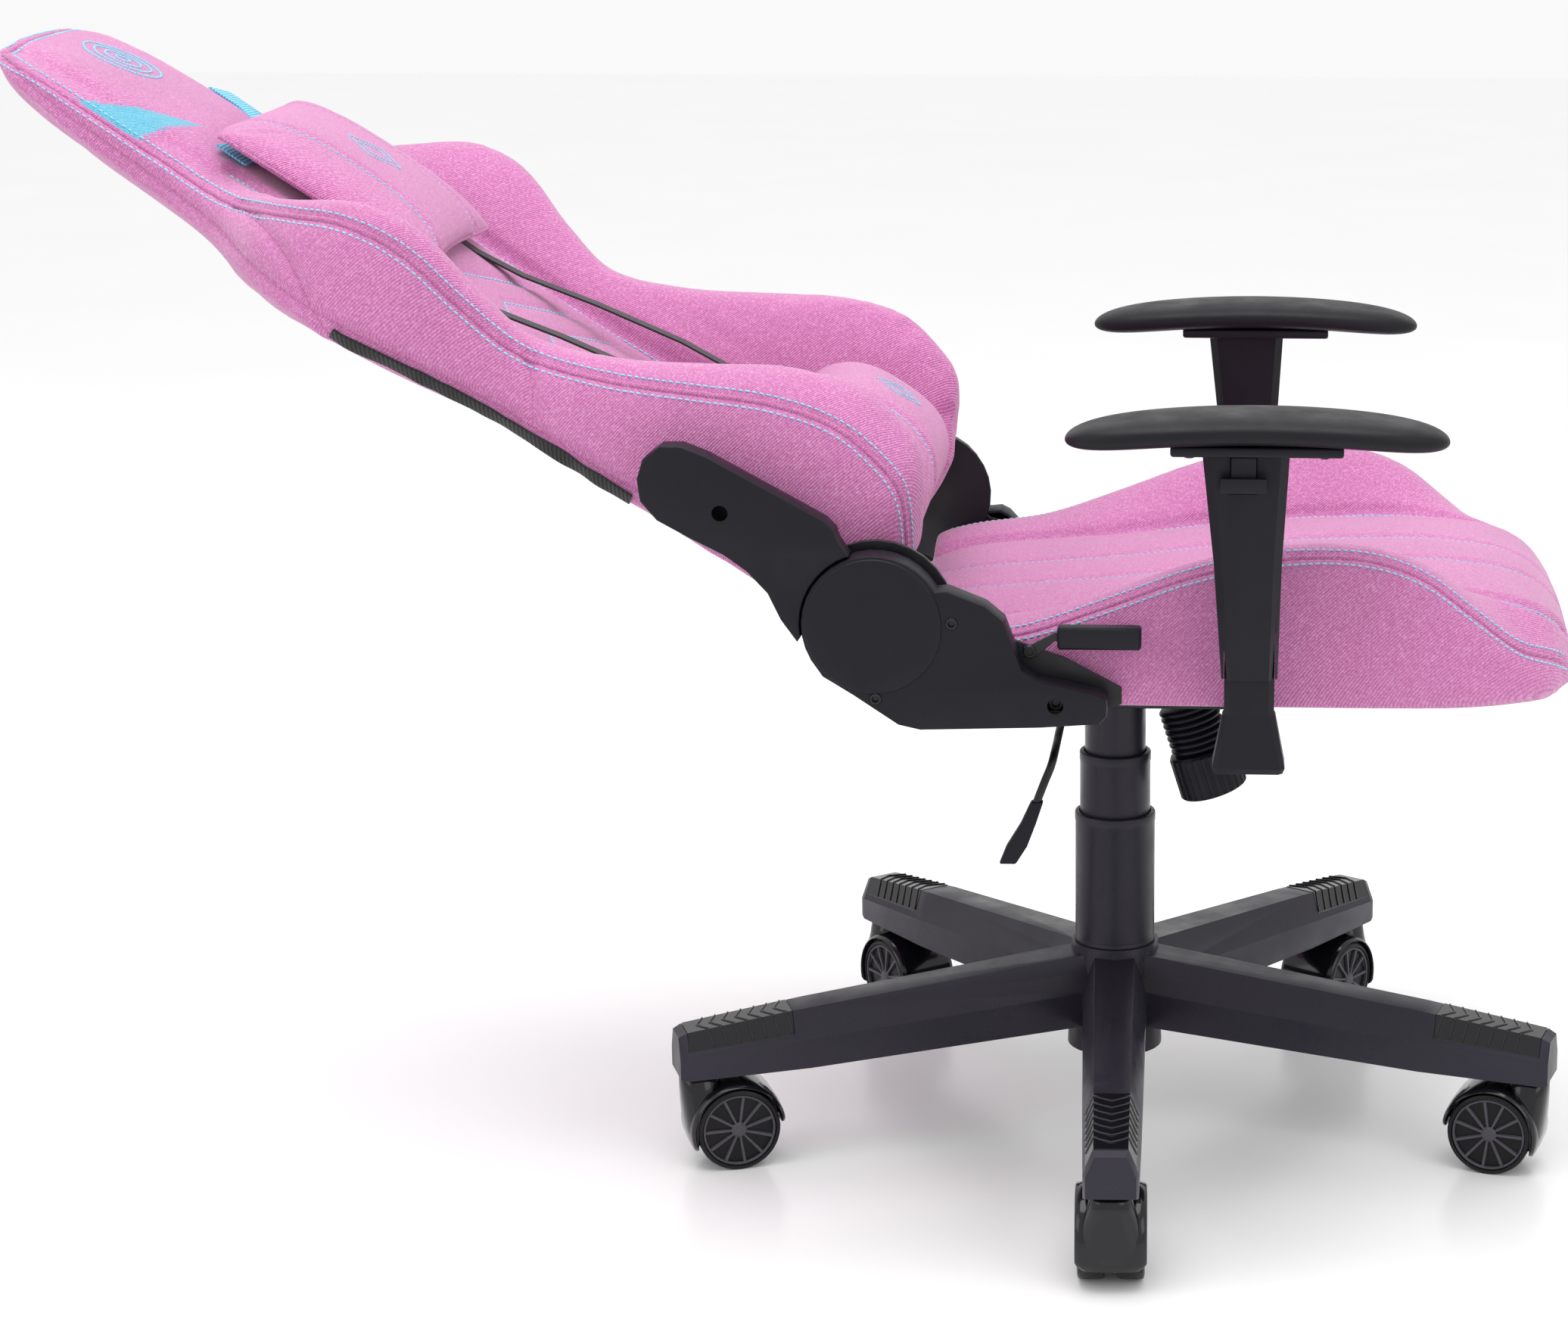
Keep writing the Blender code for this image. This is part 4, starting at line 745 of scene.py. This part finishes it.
def back_upholstery():
    skin = back_skin()
    rear, split, edge, valley, middle = (skin.params[k] for k in (3, 4, 6, 10, 12))
    welts, inner, quilts, plain = [], [], [], []
    for side in (-1, 1):
        welts.append(skin.line(edge, 0.004, 0.744, side))
        inner.append(skin.line(valley, 0.004, 0.560, side))
        plain.append(skin.line(split, 0.004, 0.746, side))
        # the wings' side panels are each made of three pieces
        plain.append(skin.slanted((0.537, edge), (0.426, rear), side, 24))
        plain.append(skin.slanted((0.304, edge), (0.277, split), side, 16))
        for k in range(5):      # chevron quilting up the middle panel
            foot = 0.195 + 0.040 * k
            quilts.append([skin.spot(foot + 0.040 * (1 - t), middle - 0.078 * t, side)
                           for t in np.linspace(0, 1, 20)])
    welts += [[skin.spot(0.744, q, side) for q in np.linspace(edge, middle, 20)] for side in (-1, 1)]
    back = stuffed("back_upholstery", Shape().loft(skin.rings()), "head_fabric",
                   welts + inner + plain + quilts)
    grooved(back, inner, 0.012, 0.006)
    grooved(back, plain, 0.008, 0.0030)
    grooved(back, welts, 0.007, 0.0018)
    grooved(back, quilts, 0.009, 0.0022)
    printed_patch(back)
    put(back, "back", "pink_fabric", "back_cushion", "back_cover", "back_frame")
    sewn("back", back, "back", welts, inner + quilts, plain)
    tree = surface_of(back)
    head_emblem(tree)
    cover_zips(skin, tree)


# pillows ------------------------------------------------------------
PILLOW_STEPS = 26       # squares across each panel
QUILT_AT = 0.55         # the two sewn lines, as a share of half the pillow's width


def pillow_shape(centre, half, height, depth, rear, swell):
    """A stuffed pillow of two panels, domed in front and pinched at its corners, and its rim."""
    n = PILLOW_STEPS
    size = n + 1
    places = [2 * i / n - 1 for i in range(size)]
    points, faces = [], []
    for front in (True, False):
        start = len(points)
        for u in places:
            for v in places:
                x = u * half * (1 - 0.035 * (1 - v * v))
                s = v * height * (1 - 0.045 * (1 - u * u))
                dome = max((1 - abs(u) ** 2.6) * (1 - abs(v) ** 2.6), 0) ** 0.46
                seam = rear + depth * 0.35 * (0.45 + 0.25 * (1 - u ** 2) * (1 - v ** 2))
                rise = depth - (seam - rear) if front else -(seam - rear + swell)
                points.append((x, seam + rise * dome, centre + s))
        for i in range(n):
            for j in range(n):
                a = start + i * size + j
                faces.append([a, a + size, a + size + 1, a + 1])
    rim = [i * size for i in range(size)] + [n * size + j for j in range(1, size)]
    rim += [i * size + n for i in reversed(range(n))] + list(reversed(range(n)))
    return Shape().add(points, faces, BACK), [BACK @ Vector(points[i]) for i in rim]


def pillow(name, centre, half, height, depth, rear, swell, motif_size):
    shape, rim = pillow_shape(centre, half, height, depth, rear, swell)
    made = stuffed(f"{name}_upholstery", shape, "pink_fabric", [rim], voxel=0.0045, cap=0.012, pressure=4.5)
    tree = surface_of(made)
    top = depth + rear + 0.03
    quilts = []
    for side in (-1, 1):
        bow = [(side * half * (QUILT_AT - 0.10 * (1 - t * t)), centre + height * t)
               for t in np.linspace(-0.92, 0.92, 40)]
        quilts.append(projected(tree, bow, top))
    grooved(made, quilts, 0.008, 0.0020)
    grooved(made, [rim], 0.006, 0.0015)
    put(made, name, "pink_fabric", name)
    tree = surface_of(made)
    thread, rope = Shape(), Shape()
    for line in quilts:
        stitches(thread, tree, line)
    # a plain sewn motif: two diamonds, one inside the other
    wide, tall = motif_size * 0.8, motif_size
    corners = [(0, tall), (wide, 0), (0, -tall), (-wide, 0), (0, tall)]
    for scale in (1.0, 0.62):
        outline = [((x0 + (x1 - x0) * t) * scale, centre + (s0 + (s1 - s0) * t) * scale)
                   for (x0, s0), (x1, s1) in zip(corners, corners[1:])
                   for t in np.linspace(0, 1, 12, endpoint=False)]
        line = projected(tree, outline, top)
        stitches(thread, tree, line + line[:1], 0.0026, 0.0022, 0.0006)
    sewn_on(thread, f"{name}_stitching", "thread", name)
    spots, _ = laid(tree, rim)
    rope.tube(spots[:-1], 0.0016, 8, closed=True)
    sewn_on(rope, f"{name}_edging", "piping", name)


seat_upholstery()
back_upholstery()
pillow("head_pillow", 0.4945, 0.118, 0.092, 0.031, 0.003, 0.004, 0.024)
pillow("lumbar_pillow", 0.069, 0.120, 0.066, 0.068, 0.034, 0.000, 0.020)


# ------------------------------------------------------------------ base and casters
def flat_angle(v):
    return np.arctan2(v.y, v.x)


def z_turned(at, angle):
    return Matrix.Translation(at) @ Matrix.Rotation(angle, 4, "Z")


def along_x(at, side):
    """A frame whose Z points out of the chair's side."""
    return Matrix.Translation(at) @ Matrix.Rotation(radians(90) * side, 4, "Y")


RIB_LIFT = 0.0004       # the chevrons' middle line over the insert
RIB_FOOT = 0.25         # how far up the leg's slopes they start
LEG_TOP = (     # distance from the axis: width, underside, top
    (0.240, 0.0435, 0.0765, 0.1230), (0.262, 0.0425, 0.0755, 0.1200), (0.343, 0.0395, 0.0740, 0.1102))


def along_leg(at, column):
    return float(np.interp(at, [row[0] for row in LEG_TOP], [row[column] for row in LEG_TOP]))


def leg_side(at):
    """Four points over the insert at a distance from the axis: slope, flat top, slope."""
    width, under, top = along_leg(at, 1), along_leg(at, 2), along_leg(at, 3)
    shoulder = under + (top - under) * 0.5
    outer, inner = width / 2, width / 2 * 0.62
    edge, up = outer + (inner - outer) * RIB_FOOT, shoulder + (top - shoulder) * RIB_FOOT
    return [(-edge, up + RIB_LIFT), (-inner, top + RIB_LIFT), (inner, top + RIB_LIFT), (edge, up + RIB_LIFT)]


def chevron_ribs(leg):
    """Raised chevrons over the insert's three faces."""
    ribs = Shape()
    for k in range(7):
        tip = 0.274 + 0.0100 * k
        spots = leg_side(tip)
        path = []
        for share in np.linspace(0, 3, 19):
            j = min(int(share), 2)
            a, b = spots[j], spots[j + 1]
            t = share - j
            y, z = a[0] + (b[0] - a[0]) * t, a[1] + (b[1] - a[1]) * t
            back = abs(y) * 0.55
            drop = leg_side(tip - back)[1][1] - spots[1][1]
            path.append((tip - back, y, z + drop))
        ribs.tube(path, 0.0011, 6, leg, flat=0.6)
    return ribs


def channel_ribs(leg):
    """Crossed stiffening ribs in the channel under the leg."""
    web = Shape()
    for k in range(5):
        a, b = 0.060 + 0.044 * k, 0.104 + 0.044 * k
        for side in (-1, 1):
            rings = []
            for at, y in ((a, -side * 0.0155), (b, side * 0.0155)):
                roof = np.interp(at, (0.05, 0.30), (0.1185, 0.0985))
                sill = np.interp(at, (0.012, 0.25), (0.0895, 0.0770))
                rings.append([(at, y - 0.0009, sill), (at, y + 0.0009, sill), (at, y + 0.0009, roof),
                              (at, y - 0.0009, roof)])
            web.loft(rings, leg)
    return web


def base_and_inserts():
    refined("base_moulding", "star_base", "base_nylon", 0.0016, 3)
    for i in range(1, 6):
        stem = Vector(JOINTS[f"caster_swivel_{i}"]["pos_m"])
        leg = z_turned(AXIS, flat_angle(stem - AXIS))
        refined(f"footrest_pad_{i}", f"footrest_insert_{i}", "gloss_black", 0.0008)
        ribs = chevron_ribs(leg).object(f"footrest_ribs_{i}", "gloss_black", smooth=180)
        put(ribs, "base", "gloss_black")
        put(channel_ribs(leg).object(f"leg_ribs_{i}", "base_nylon", bevel=0.0003), "base", "base_nylon")


HOOD_START, HOOD_END, HOOD_ROUNDING = radians(-24), radians(176), radians(9)
HOOD_SECTION = (
    (0.0343, -0.0255), (0.0360, -0.0243), (0.0369, -0.0205), (0.0373, -0.0100), (0.0374, 0.0),
    (0.0373, 0.0100), (0.0369, 0.0205), (0.0360, 0.0243), (0.0343, 0.0255), (0.0336, 0.0240),
    (0.0336, -0.0240))
HOOD_WEB = ((0.006, -0.0036), (0.0345, -0.0036), (0.0345, 0.0036), (0.006, 0.0036))
HOOD_BOSS = (       # height, middle, half length, half width
    (0.0408, 0.0260, 0.0138, 0.0138), (0.0396, 0.0260, 0.0150, 0.0150), (0.0300, 0.0256, 0.0154, 0.0172),
    (0.0200, 0.0262, 0.0142, 0.0205), (0.0100, 0.0284, 0.0112, 0.0222), (0.0000, 0.0314, 0.0072, 0.0226),
    (-0.0080, 0.0322, 0.0044, 0.0214), (-0.0135, 0.0316, 0.0022, 0.0180))


def squarish(angle, power_x, power_y):
    """A rounded square's point at an angle, within one of the middle."""
    c, s = cos(angle), sin(angle)
    return float(np.sign(c)) * abs(c) ** power_x, float(np.sign(s)) * abs(s) ** power_y


def caster_hood():
    """A rounded cover over both wheels, a web between them and a boss round the stem, about the axle."""
    shape = Shape()
    rings = []
    for turn in np.linspace(HOOD_START, HOOD_END, 44):
        end = min((turn - HOOD_START) / HOOD_ROUNDING, (HOOD_END - turn) / HOOD_ROUNDING, 1.0)
        narrow = 0.80 + 0.20 * max(end, 0) ** 0.5
        rings.append([(r * cos(turn), y * narrow, r * sin(turn)) for r, y in HOOD_SECTION])
    shape.loft(rings)
    shape.loft([[(r * cos(turn), y, r * sin(turn)) for r, y in HOOD_WEB]
                for turn in np.linspace(HOOD_START, HOOD_END, 30)])
    shape.lathe([(0.0, -0.0038), (0.0070, -0.0038), (0.0070, 0.0038), (0.0, 0.0038)], 32, LYING)
    rings = []
    for z, x, half_x, half_y in HOOD_BOSS:
        ring = [squarish(2 * pi * k / 40, 0.85, 0.85) for k in range(40)]
        rings.append([(x + u * half_x, v * half_y, z) for u, v in ring])
    shape.loft(rings)
    shape.lathe([(0.0, 0.0400), (0.0050, 0.0400), (0.0050, 0.0640), (0.0, 0.0650)], 24,
                Matrix.Translation((0.026, 0, 0)))
    return shape


TREAD = ((0.0040, 0.0048), (0.0300, 0.0048), (0.0314, 0.0053), (0.0320, 0.0068), (0.0320, 0.0216),
         (0.0316, 0.0229), (0.0305, 0.0236), (0.0287, 0.0240), (0.0283, 0.0232), (0.0280, 0.0205),
         (0.0040, 0.0205))
RIM = ((0.0262, 0.0206), (0.0278, 0.0206), (0.0280, 0.0228), (0.0276, 0.0233), (0.0266, 0.0233),
       (0.0262, 0.0228))
HUB = ((0.0, 0.0206), (0.0060, 0.0206), (0.0060, 0.0222), (0.0046, 0.0234), (0.0, 0.0237))
SPOKES = 11


def wheel_pair():
    """Two wheels with spoked faces on one axle, as one mesh for all five casters."""
    shape = Shape()
    for side in (-1, 1):
        to_side = Matrix.Rotation(-side * radians(90), 4, "X")
        shape.lathe(TREAD, 64, to_side)
        shape.lathe(RIM, 64, to_side, slot=1)
        shape.lathe(HUB, 32, to_side, slot=1)
        for k in range(SPOKES):
            spin = Matrix.Rotation(2 * pi * k / SPOKES, 4, "Z")
            shape.loft([[(r, -w, 0.0206), (r, w, 0.0206), (r, w * 0.7, 0.0226), (r, -w * 0.7, 0.0226)]
                        for r, w in ((0.0052, 0.0010), (0.0266, 0.0014))], to_side @ spin, slot=1)
    shape.lathe([(0.0, -0.0215), (0.0034, -0.0215), (0.0034, 0.0215), (0.0, 0.0215)], 20, LYING)
    first = shape.object("wheels_shared", ["wheel", "rim"], smooth=35)
    mesh = first.data
    bpy.data.objects.remove(first)
    return mesh


def casters():
    shared = wheel_pair()
    for i in range(1, 6):
        stem = Vector(JOINTS[f"caster_swivel_{i}"]["pos_m"])
        axle = Vector(JOINTS[f"wheel_roll_{i}"]["pos_m"])
        hood = caster_hood().object(f"caster_shell_{i}", "gloss_black", smooth=50)
        hood.matrix_world = z_turned(axle, flat_angle(stem - axle))
        stand_in(hood, f"caster_hood_{i}")
        wheels = bpy.data.objects.new(f"twin_wheels_{i}", shared)
        bpy.context.scene.collection.objects.link(wheels)
        wheels.matrix_world = hood.matrix_world
        put(wheels, f"wheels_{i}", "wheel", f"caster_wheels_{i}")


# ------------------------------------------------------------------ column, tilt mechanism and its controls
def turned_piece(name, cad, material, profile, steps=80, matrix=CHAIR, modulate=None, smooth=35):
    piece = Shape().lathe(profile, steps, matrix, modulate=modulate).object(name, material, smooth=smooth)
    return stand_in(piece, cad)


def cover_profile(radius, low, high, lip):
    """A telescopic sleeve: a foot band, a top band, and a lip that closes on the next sleeve."""
    wall = 0.0016
    return [(radius, low), (radius, low + 0.0030), (radius - 0.0004, low + 0.0034),
            (radius - 0.0004, high - 0.0078), (radius, high - 0.0070), (radius, high - 0.0012),
            (radius - 0.0004, high - 0.0004), (radius - 0.0012, high), (radius - wall - lip, high),
            (radius - wall - lip, high - 0.002), (radius - wall, high - 0.004), (radius - wall, low)]


TRAY_LIFT = 0.0115      # how much shallower than its solid the tilt housing looks
BELLOWS_TOP, BELLOWS_PITCH = 0.0366, 0.0052
FLUTES = 26
KNOB = ((0.0, -0.0003), (0.0222, -0.0003), (0.0248, -0.0012), (0.0258, -0.0030), (0.0258, -0.0034),
        (0.0260, -0.0340), (0.0260, -0.0346), (0.0250, -0.0356), (0.0236, -0.0362), (0.0150, -0.0364),
        (0.0140, -0.0356), (0.0, -0.0356))
LIFT_WIRE = (
    (-0.0570, 0.0360, 0.3525), (-0.1200, 0.0366, 0.3525), (-0.1860, 0.0371, 0.3525),
    (-0.1935, 0.0374, 0.3518), (-0.1985, 0.0381, 0.3490), (-0.2012, 0.0398, 0.3440),
    (-0.2040, 0.0428, 0.3370), (-0.2090, 0.0480, 0.3240), (-0.2112, 0.0503, 0.3175))


def fluted(angle, height):
    """A knob's radius there, against its plain one: flutes between its two plain ends."""
    if not -0.0345 < height < -0.0030:
        return 1
    return 1 + 0.016 * (1 if cos(FLUTES * angle) > 0 else -1)


def column():
    for name, *sizes in (("outer_cover", 0.0313, 0.1494, 0.2535, 0.0016),
                         ("middle_cover", 0.0277, 0.2000, 0.3020, 0.0016),
                         ("inner_cover", 0.0240, 0.2480, 0.3490, 0.0)):
        turned_piece(f"{name}_look", name, "base_nylon", cover_profile(*sizes))
    for cad, material in (("gas_stand_tube", "black_steel"), ("gas_cylinder", "black_steel"),
                          ("piston_rod", "bright_steel"), ("thrust_bearing", "bright_steel"),
                          ("retaining_clip", "black_steel")):
        refined(f"{cad}_look", cad, material, 0.0004)
    refined("tilt_plate_look", "tilt_plate", "black_steel", 0.0012, 3)
    housing = refined("tilt_housing_look", "tilt_housing", "black_steel", 0.0010, 3)
    floor_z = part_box("tilt_housing")[0].z
    for v in housing.data.vertices:     # a shallow tray, hidden behind the seat from the side
        if v.co.z < floor_z + 0.0045:
            v.co.z += TRAY_LIFT
    turn = JOINTS["tension_turn"]
    up = Vector(turn["axis"])
    lean = Matrix.Translation(Vector(turn["pos_m"])) @ Matrix.Rotation(-np.arctan2(up.y, up.z), 4, "X")
    ribs = [(0.0, BELLOWS_TOP)]
    for k in range(7):
        top = BELLOWS_TOP - BELLOWS_PITCH * k
        ribs += [(0.0203, top), (0.0216, top - 0.0006), (0.0228, top - 0.0018), (0.0230, top - 0.0026),
                 (0.0228, top - 0.0034), (0.0216, top - 0.0046)]
    ribs += [(0.0203, 0.0002), (0.0, 0.0002)]
    turned_piece("bellows_look", "spring_bellows", "black_plastic", ribs, 72, lean, smooth=60)
    turned_piece("knob_look", "tension_knob", "black_plastic", KNOB, 8 * FLUTES, lean, fluted, smooth=30)
    refined("lift_grip", "lift_lever_grip", "black_plastic", 0.0014, 3, 50)
    params = chord(LIFT_WIRE)
    smooth_wire = through(LIFT_WIRE, params, np.linspace(0, params[-1], 48))
    wire = Shape().tube(smooth_wire, 0.0030, 14, CHAIR)
    stand_in(wire.object("lift_wire", "black_steel", smooth=60), "lift_lever")


# ------------------------------------------------------------------ arms
PAD_MIDDLE_Z = 0.6050
PAD_HALF_THICKNESS = 0.0100
PAD_SCREW = ((0.0, -0.0004), (0.0042, -0.0004), (0.0042, 0.0002), (0.0030, 0.0010), (0.0, 0.0010))


def arm_cushion(middle, half_w, half_l):
    """A soft pad, full in the middle, drooping a little at both ends and along its sides."""
    rear_half = np.cos(np.linspace(pi / 2, 0, 20, endpoint=False))[1:]
    front_half = -np.cos(np.linspace(0, pi / 2, 20, endpoint=False))
    rings = []
    for u in np.concatenate([front_half, [0.0], rear_half, [1.0]]).tolist():
        wide = max(max((1 - abs(u) ** 3.2), 0) ** 0.42, 0.02)
        thick = max(max((1 - abs(u) ** 7), 0) ** 0.5, 0.02)
        z = PAD_MIDDLE_Z - 0.0105 * u * u
        ring = []
        for k in range(36):
            angle = 2 * pi * k / 36
            across, rise = squarish(angle, 0.55, 0.62)
            x = across * half_w * wide
            rise = rise * PAD_HALF_THICKNESS * thick
            rise -= 0.0014 * (x / half_w) ** 2 if sin(angle) > 0 else 0
            ring.append((middle.x + x, middle.y + u * half_l, z + rise))
        rings.append(ring)
    return Shape().loft(rings)


def arms():
    for side, word in ((-1, "right"), (1, "left")):
        refined(f"arm_strip_{word}", f"arm_bracket_{word}", "black_steel", 0.0006)
        refined(f"arm_post_{word}_look", f"arm_post_{word}", "black_plastic", 0.0016, 3)
        refined(f"arm_sleeve_{word}_look", f"arm_sleeve_{word}", "black_plastic", 0.0006, 2)
        refined(f"arm_button_{word}_look", f"arm_button_{word}", "black_plastic", 0.0012, 3)
        low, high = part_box(f"arm_pad_{word}")
        middle = (low + high) / 2
        shape = arm_cushion(middle, (high.x - low.x) / 2, (high.y - low.y) / 2)
        cushion = shape.object(f"arm_cushion_{word}", "arm_pad", smooth=60)
        stand_in(cushion, f"arm_pad_{word}")
        screws = Shape()
        for end in (-1, 1):     # the two screws under the pad's carrier
            at = Matrix.Translation((middle.x + 0.021 * side, middle.y + 0.046 * end, 0.5868))
            screws.lathe(PAD_SCREW, 24, at @ Matrix.Rotation(pi, 4, "X"))
        put(screws.object(f"arm_screws_{word}", "black_steel"), BODY_OF[f"arm_pad_{word}"], "black_steel")


# ------------------------------------------------------------------ recline hardware
def socket_screw(shape, matrix, radius):
    """A screw's round head with its socket, facing along Z."""
    shape.lathe([(0.0, -0.0018), (radius * 0.48, -0.0018), (radius * 0.54, 0.0002), (radius * 0.60, 0.0008),
                 (radius * 0.88, 0.0008), (radius, 0.0001), (radius, -0.0030), (0.0, -0.0030)], 24, matrix)


CAP_RADIUS = {"right": 0.0495, "left": 0.0455}      # the lever's side has the larger cap
COVER_SCREWS = {"right": ((0.1062, 0.4613), (0.1601, 0.4064)), "left": ((0.1601, 0.4064),)}


def hinge_side(side, word):
    radius = CAP_RADIUS[word]
    for cad in (f"seat_bracket_{word}", f"back_bracket_{word}"):
        refined(f"{cad}_look", cad, "black_steel", 0.0007)
    for cad in (f"seat_cover_{word}", f"arm_cover_{word}"):
        refined(f"{cad}_look", cad, "black_plastic", 0.0022, 4, 32)
    low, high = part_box(f"seat_cover_{word}")
    face = low.x if side < 0 else high.x
    cap = Shape().lathe([(0.0, -0.0012), (radius - 0.0012, -0.0012), (radius - 0.0012, 0.0004),
                         (radius - 0.0016, 0.0010), (radius - 0.0026, 0.0013), (radius - 0.0140, 0.0015),
                         (0.0, 0.0016)], 96, along_x((face, HINGE.y, HINGE.z), side))
    put(cap.object(f"hinge_cap_{word}", "black_plastic", smooth=40), "seat", "black_plastic")
    screws = Shape()
    for y, z in COVER_SCREWS[word]:
        socket_screw(screws, along_x((face + side * 0.0002, AXIS.y + y, z), side), 0.0044)
    put(screws.object(f"cover_screws_{word}", "black_steel"), "seat", "black_steel")
    deep = Shape()      # the screw deep in the cover's well
    socket_screw(deep, along_x((face - side * 0.010, AXIS.y + 0.0337, 0.4023), side), 0.0054)
    put(deep.object(f"deep_screw_{word}", "black_steel"), "seat", "black_steel")


def recline_hardware():
    for side, word in ((-1, "right"), (1, "left")):
        hinge_side(side, word)
    refined("recline_blade", "recline_lever", "black_steel", 0.0005)
    refined("recline_grip", "recline_handle", "black_plastic", 0.0018, 3)
    pivot = Vector(JOINTS["back_lever_pull"]["pos_m"])
    screw = Shape()
    socket_screw(screw, along_x((pivot.x - 0.0024, pivot.y, pivot.z), -1), 0.0046)
    put(screw.object("lever_screw", "black_steel"), BODY_OF["recline_lever"], "black_steel")


def seat_underside():
    refined("seat_board", "seat_pan", "plywood", 0.0010)
    bolts = Shape()
    low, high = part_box("tilt_plate")
    head = [(0.0, -0.0040), (0.0052, -0.0040), (0.0060, -0.0032), (0.0060, 0.0002), (0.0, 0.0002)]
    for x in (low.x + 0.014, high.x - 0.014):
        for y in (low.y + 0.020, high.y - 0.020):
            bolts.lathe(head, 6, Matrix.Translation((x, y, SEAT_BOTTOM - 0.0040)))
    put(bolts.object("seat_bolts", "bright_steel", bevel=0.0003), "seat", "bright_steel")


def straps():
    refined("head_webbing", "head_pillow_webbing", "blue_webbing", 0.0003, 1, 60)
    refined("pillow_straps", "back_straps", "black_webbing", 0.0003, 1, 60)


base_and_inserts()
casters()
column()
arms()
recline_hardware()
seat_underside()
straps()


# ------------------------------------------------------------------ the room and the camera
made, tree, shader, where = shader_of("floor", 0.22, Specular_IOR_Level=0.5)
tree.links.new(ramp(tree, noise(tree, where, 3.0), (0.3, 0.93), (0.7, 0.95)), shader.inputs["Base Color"])
MATERIALS["floor"] = made
Shape().box((-9, -9, -0.02), (9, 9, 0.0)).object("floor", "floor")

bpy.context.scene.view_settings.view_transform = "Standard"
world = bpy.data.worlds.new("studio")
bpy.context.scene.world = world
world.use_nodes = True
world.node_tree.nodes["Background"].inputs["Color"].default_value = (1.0, 1.0, 1.0, 1)
world.node_tree.nodes["Background"].inputs["Strength"].default_value = 0.95
MIDDLE = AXIS + Vector((0, 0, 0.55))


def area(name, offset, size, power):
    """A square lamp away from the chair's axis, turned to the chair's middle."""
    data = bpy.data.lights.new(name, "AREA")
    data.shape = "RECTANGLE"
    data.size = size
    data.size_y = size
    data.energy = power
    lamp = bpy.data.objects.new(name, data)
    bpy.context.scene.collection.objects.link(lamp)
    lamp.location = AXIS + Vector(offset)
    lamp.rotation_euler = (MIDDLE - lamp.location).to_track_quat("-Z", "Y").to_euler()


area("overhead", (-0.3, 0.1, 3.0), 2.4, 62)
area("front", (-2.2, -2.4, 1.9), 1.8, 16)
area("back", (-1.6, 2.6, 1.7), 1.6, 12)

CAMERA_TURN, CAMERA_DROP = -0.0443, 0.2532      # radians, from looking straight at the near side
CAMERA_AT = AXIS + Vector((-2.6857, -0.0935, 1.0628))
level = cos(CAMERA_DROP)
forward = Vector((cos(CAMERA_TURN) * level, -sin(CAMERA_TURN) * level, -sin(CAMERA_DROP)))
right = Vector((-sin(CAMERA_TURN), -cos(CAMERA_TURN), 0))
up = right.cross(forward)
lens = bpy.data.cameras.new("camera")
lens.sensor_width = 36
lens.lens = 82.845
lens.shift_x = -0.19025
camera = bpy.data.objects.new("camera", lens)
bpy.context.scene.collection.objects.link(camera)
camera.matrix_world = Matrix((
    (right.x, up.x, -forward.x, CAMERA_AT.x), (right.y, up.y, -forward.y, CAMERA_AT.y),
    (right.z, up.z, -forward.z, CAMERA_AT.z), (0, 0, 0, 1)))
bpy.context.scene.camera = camera
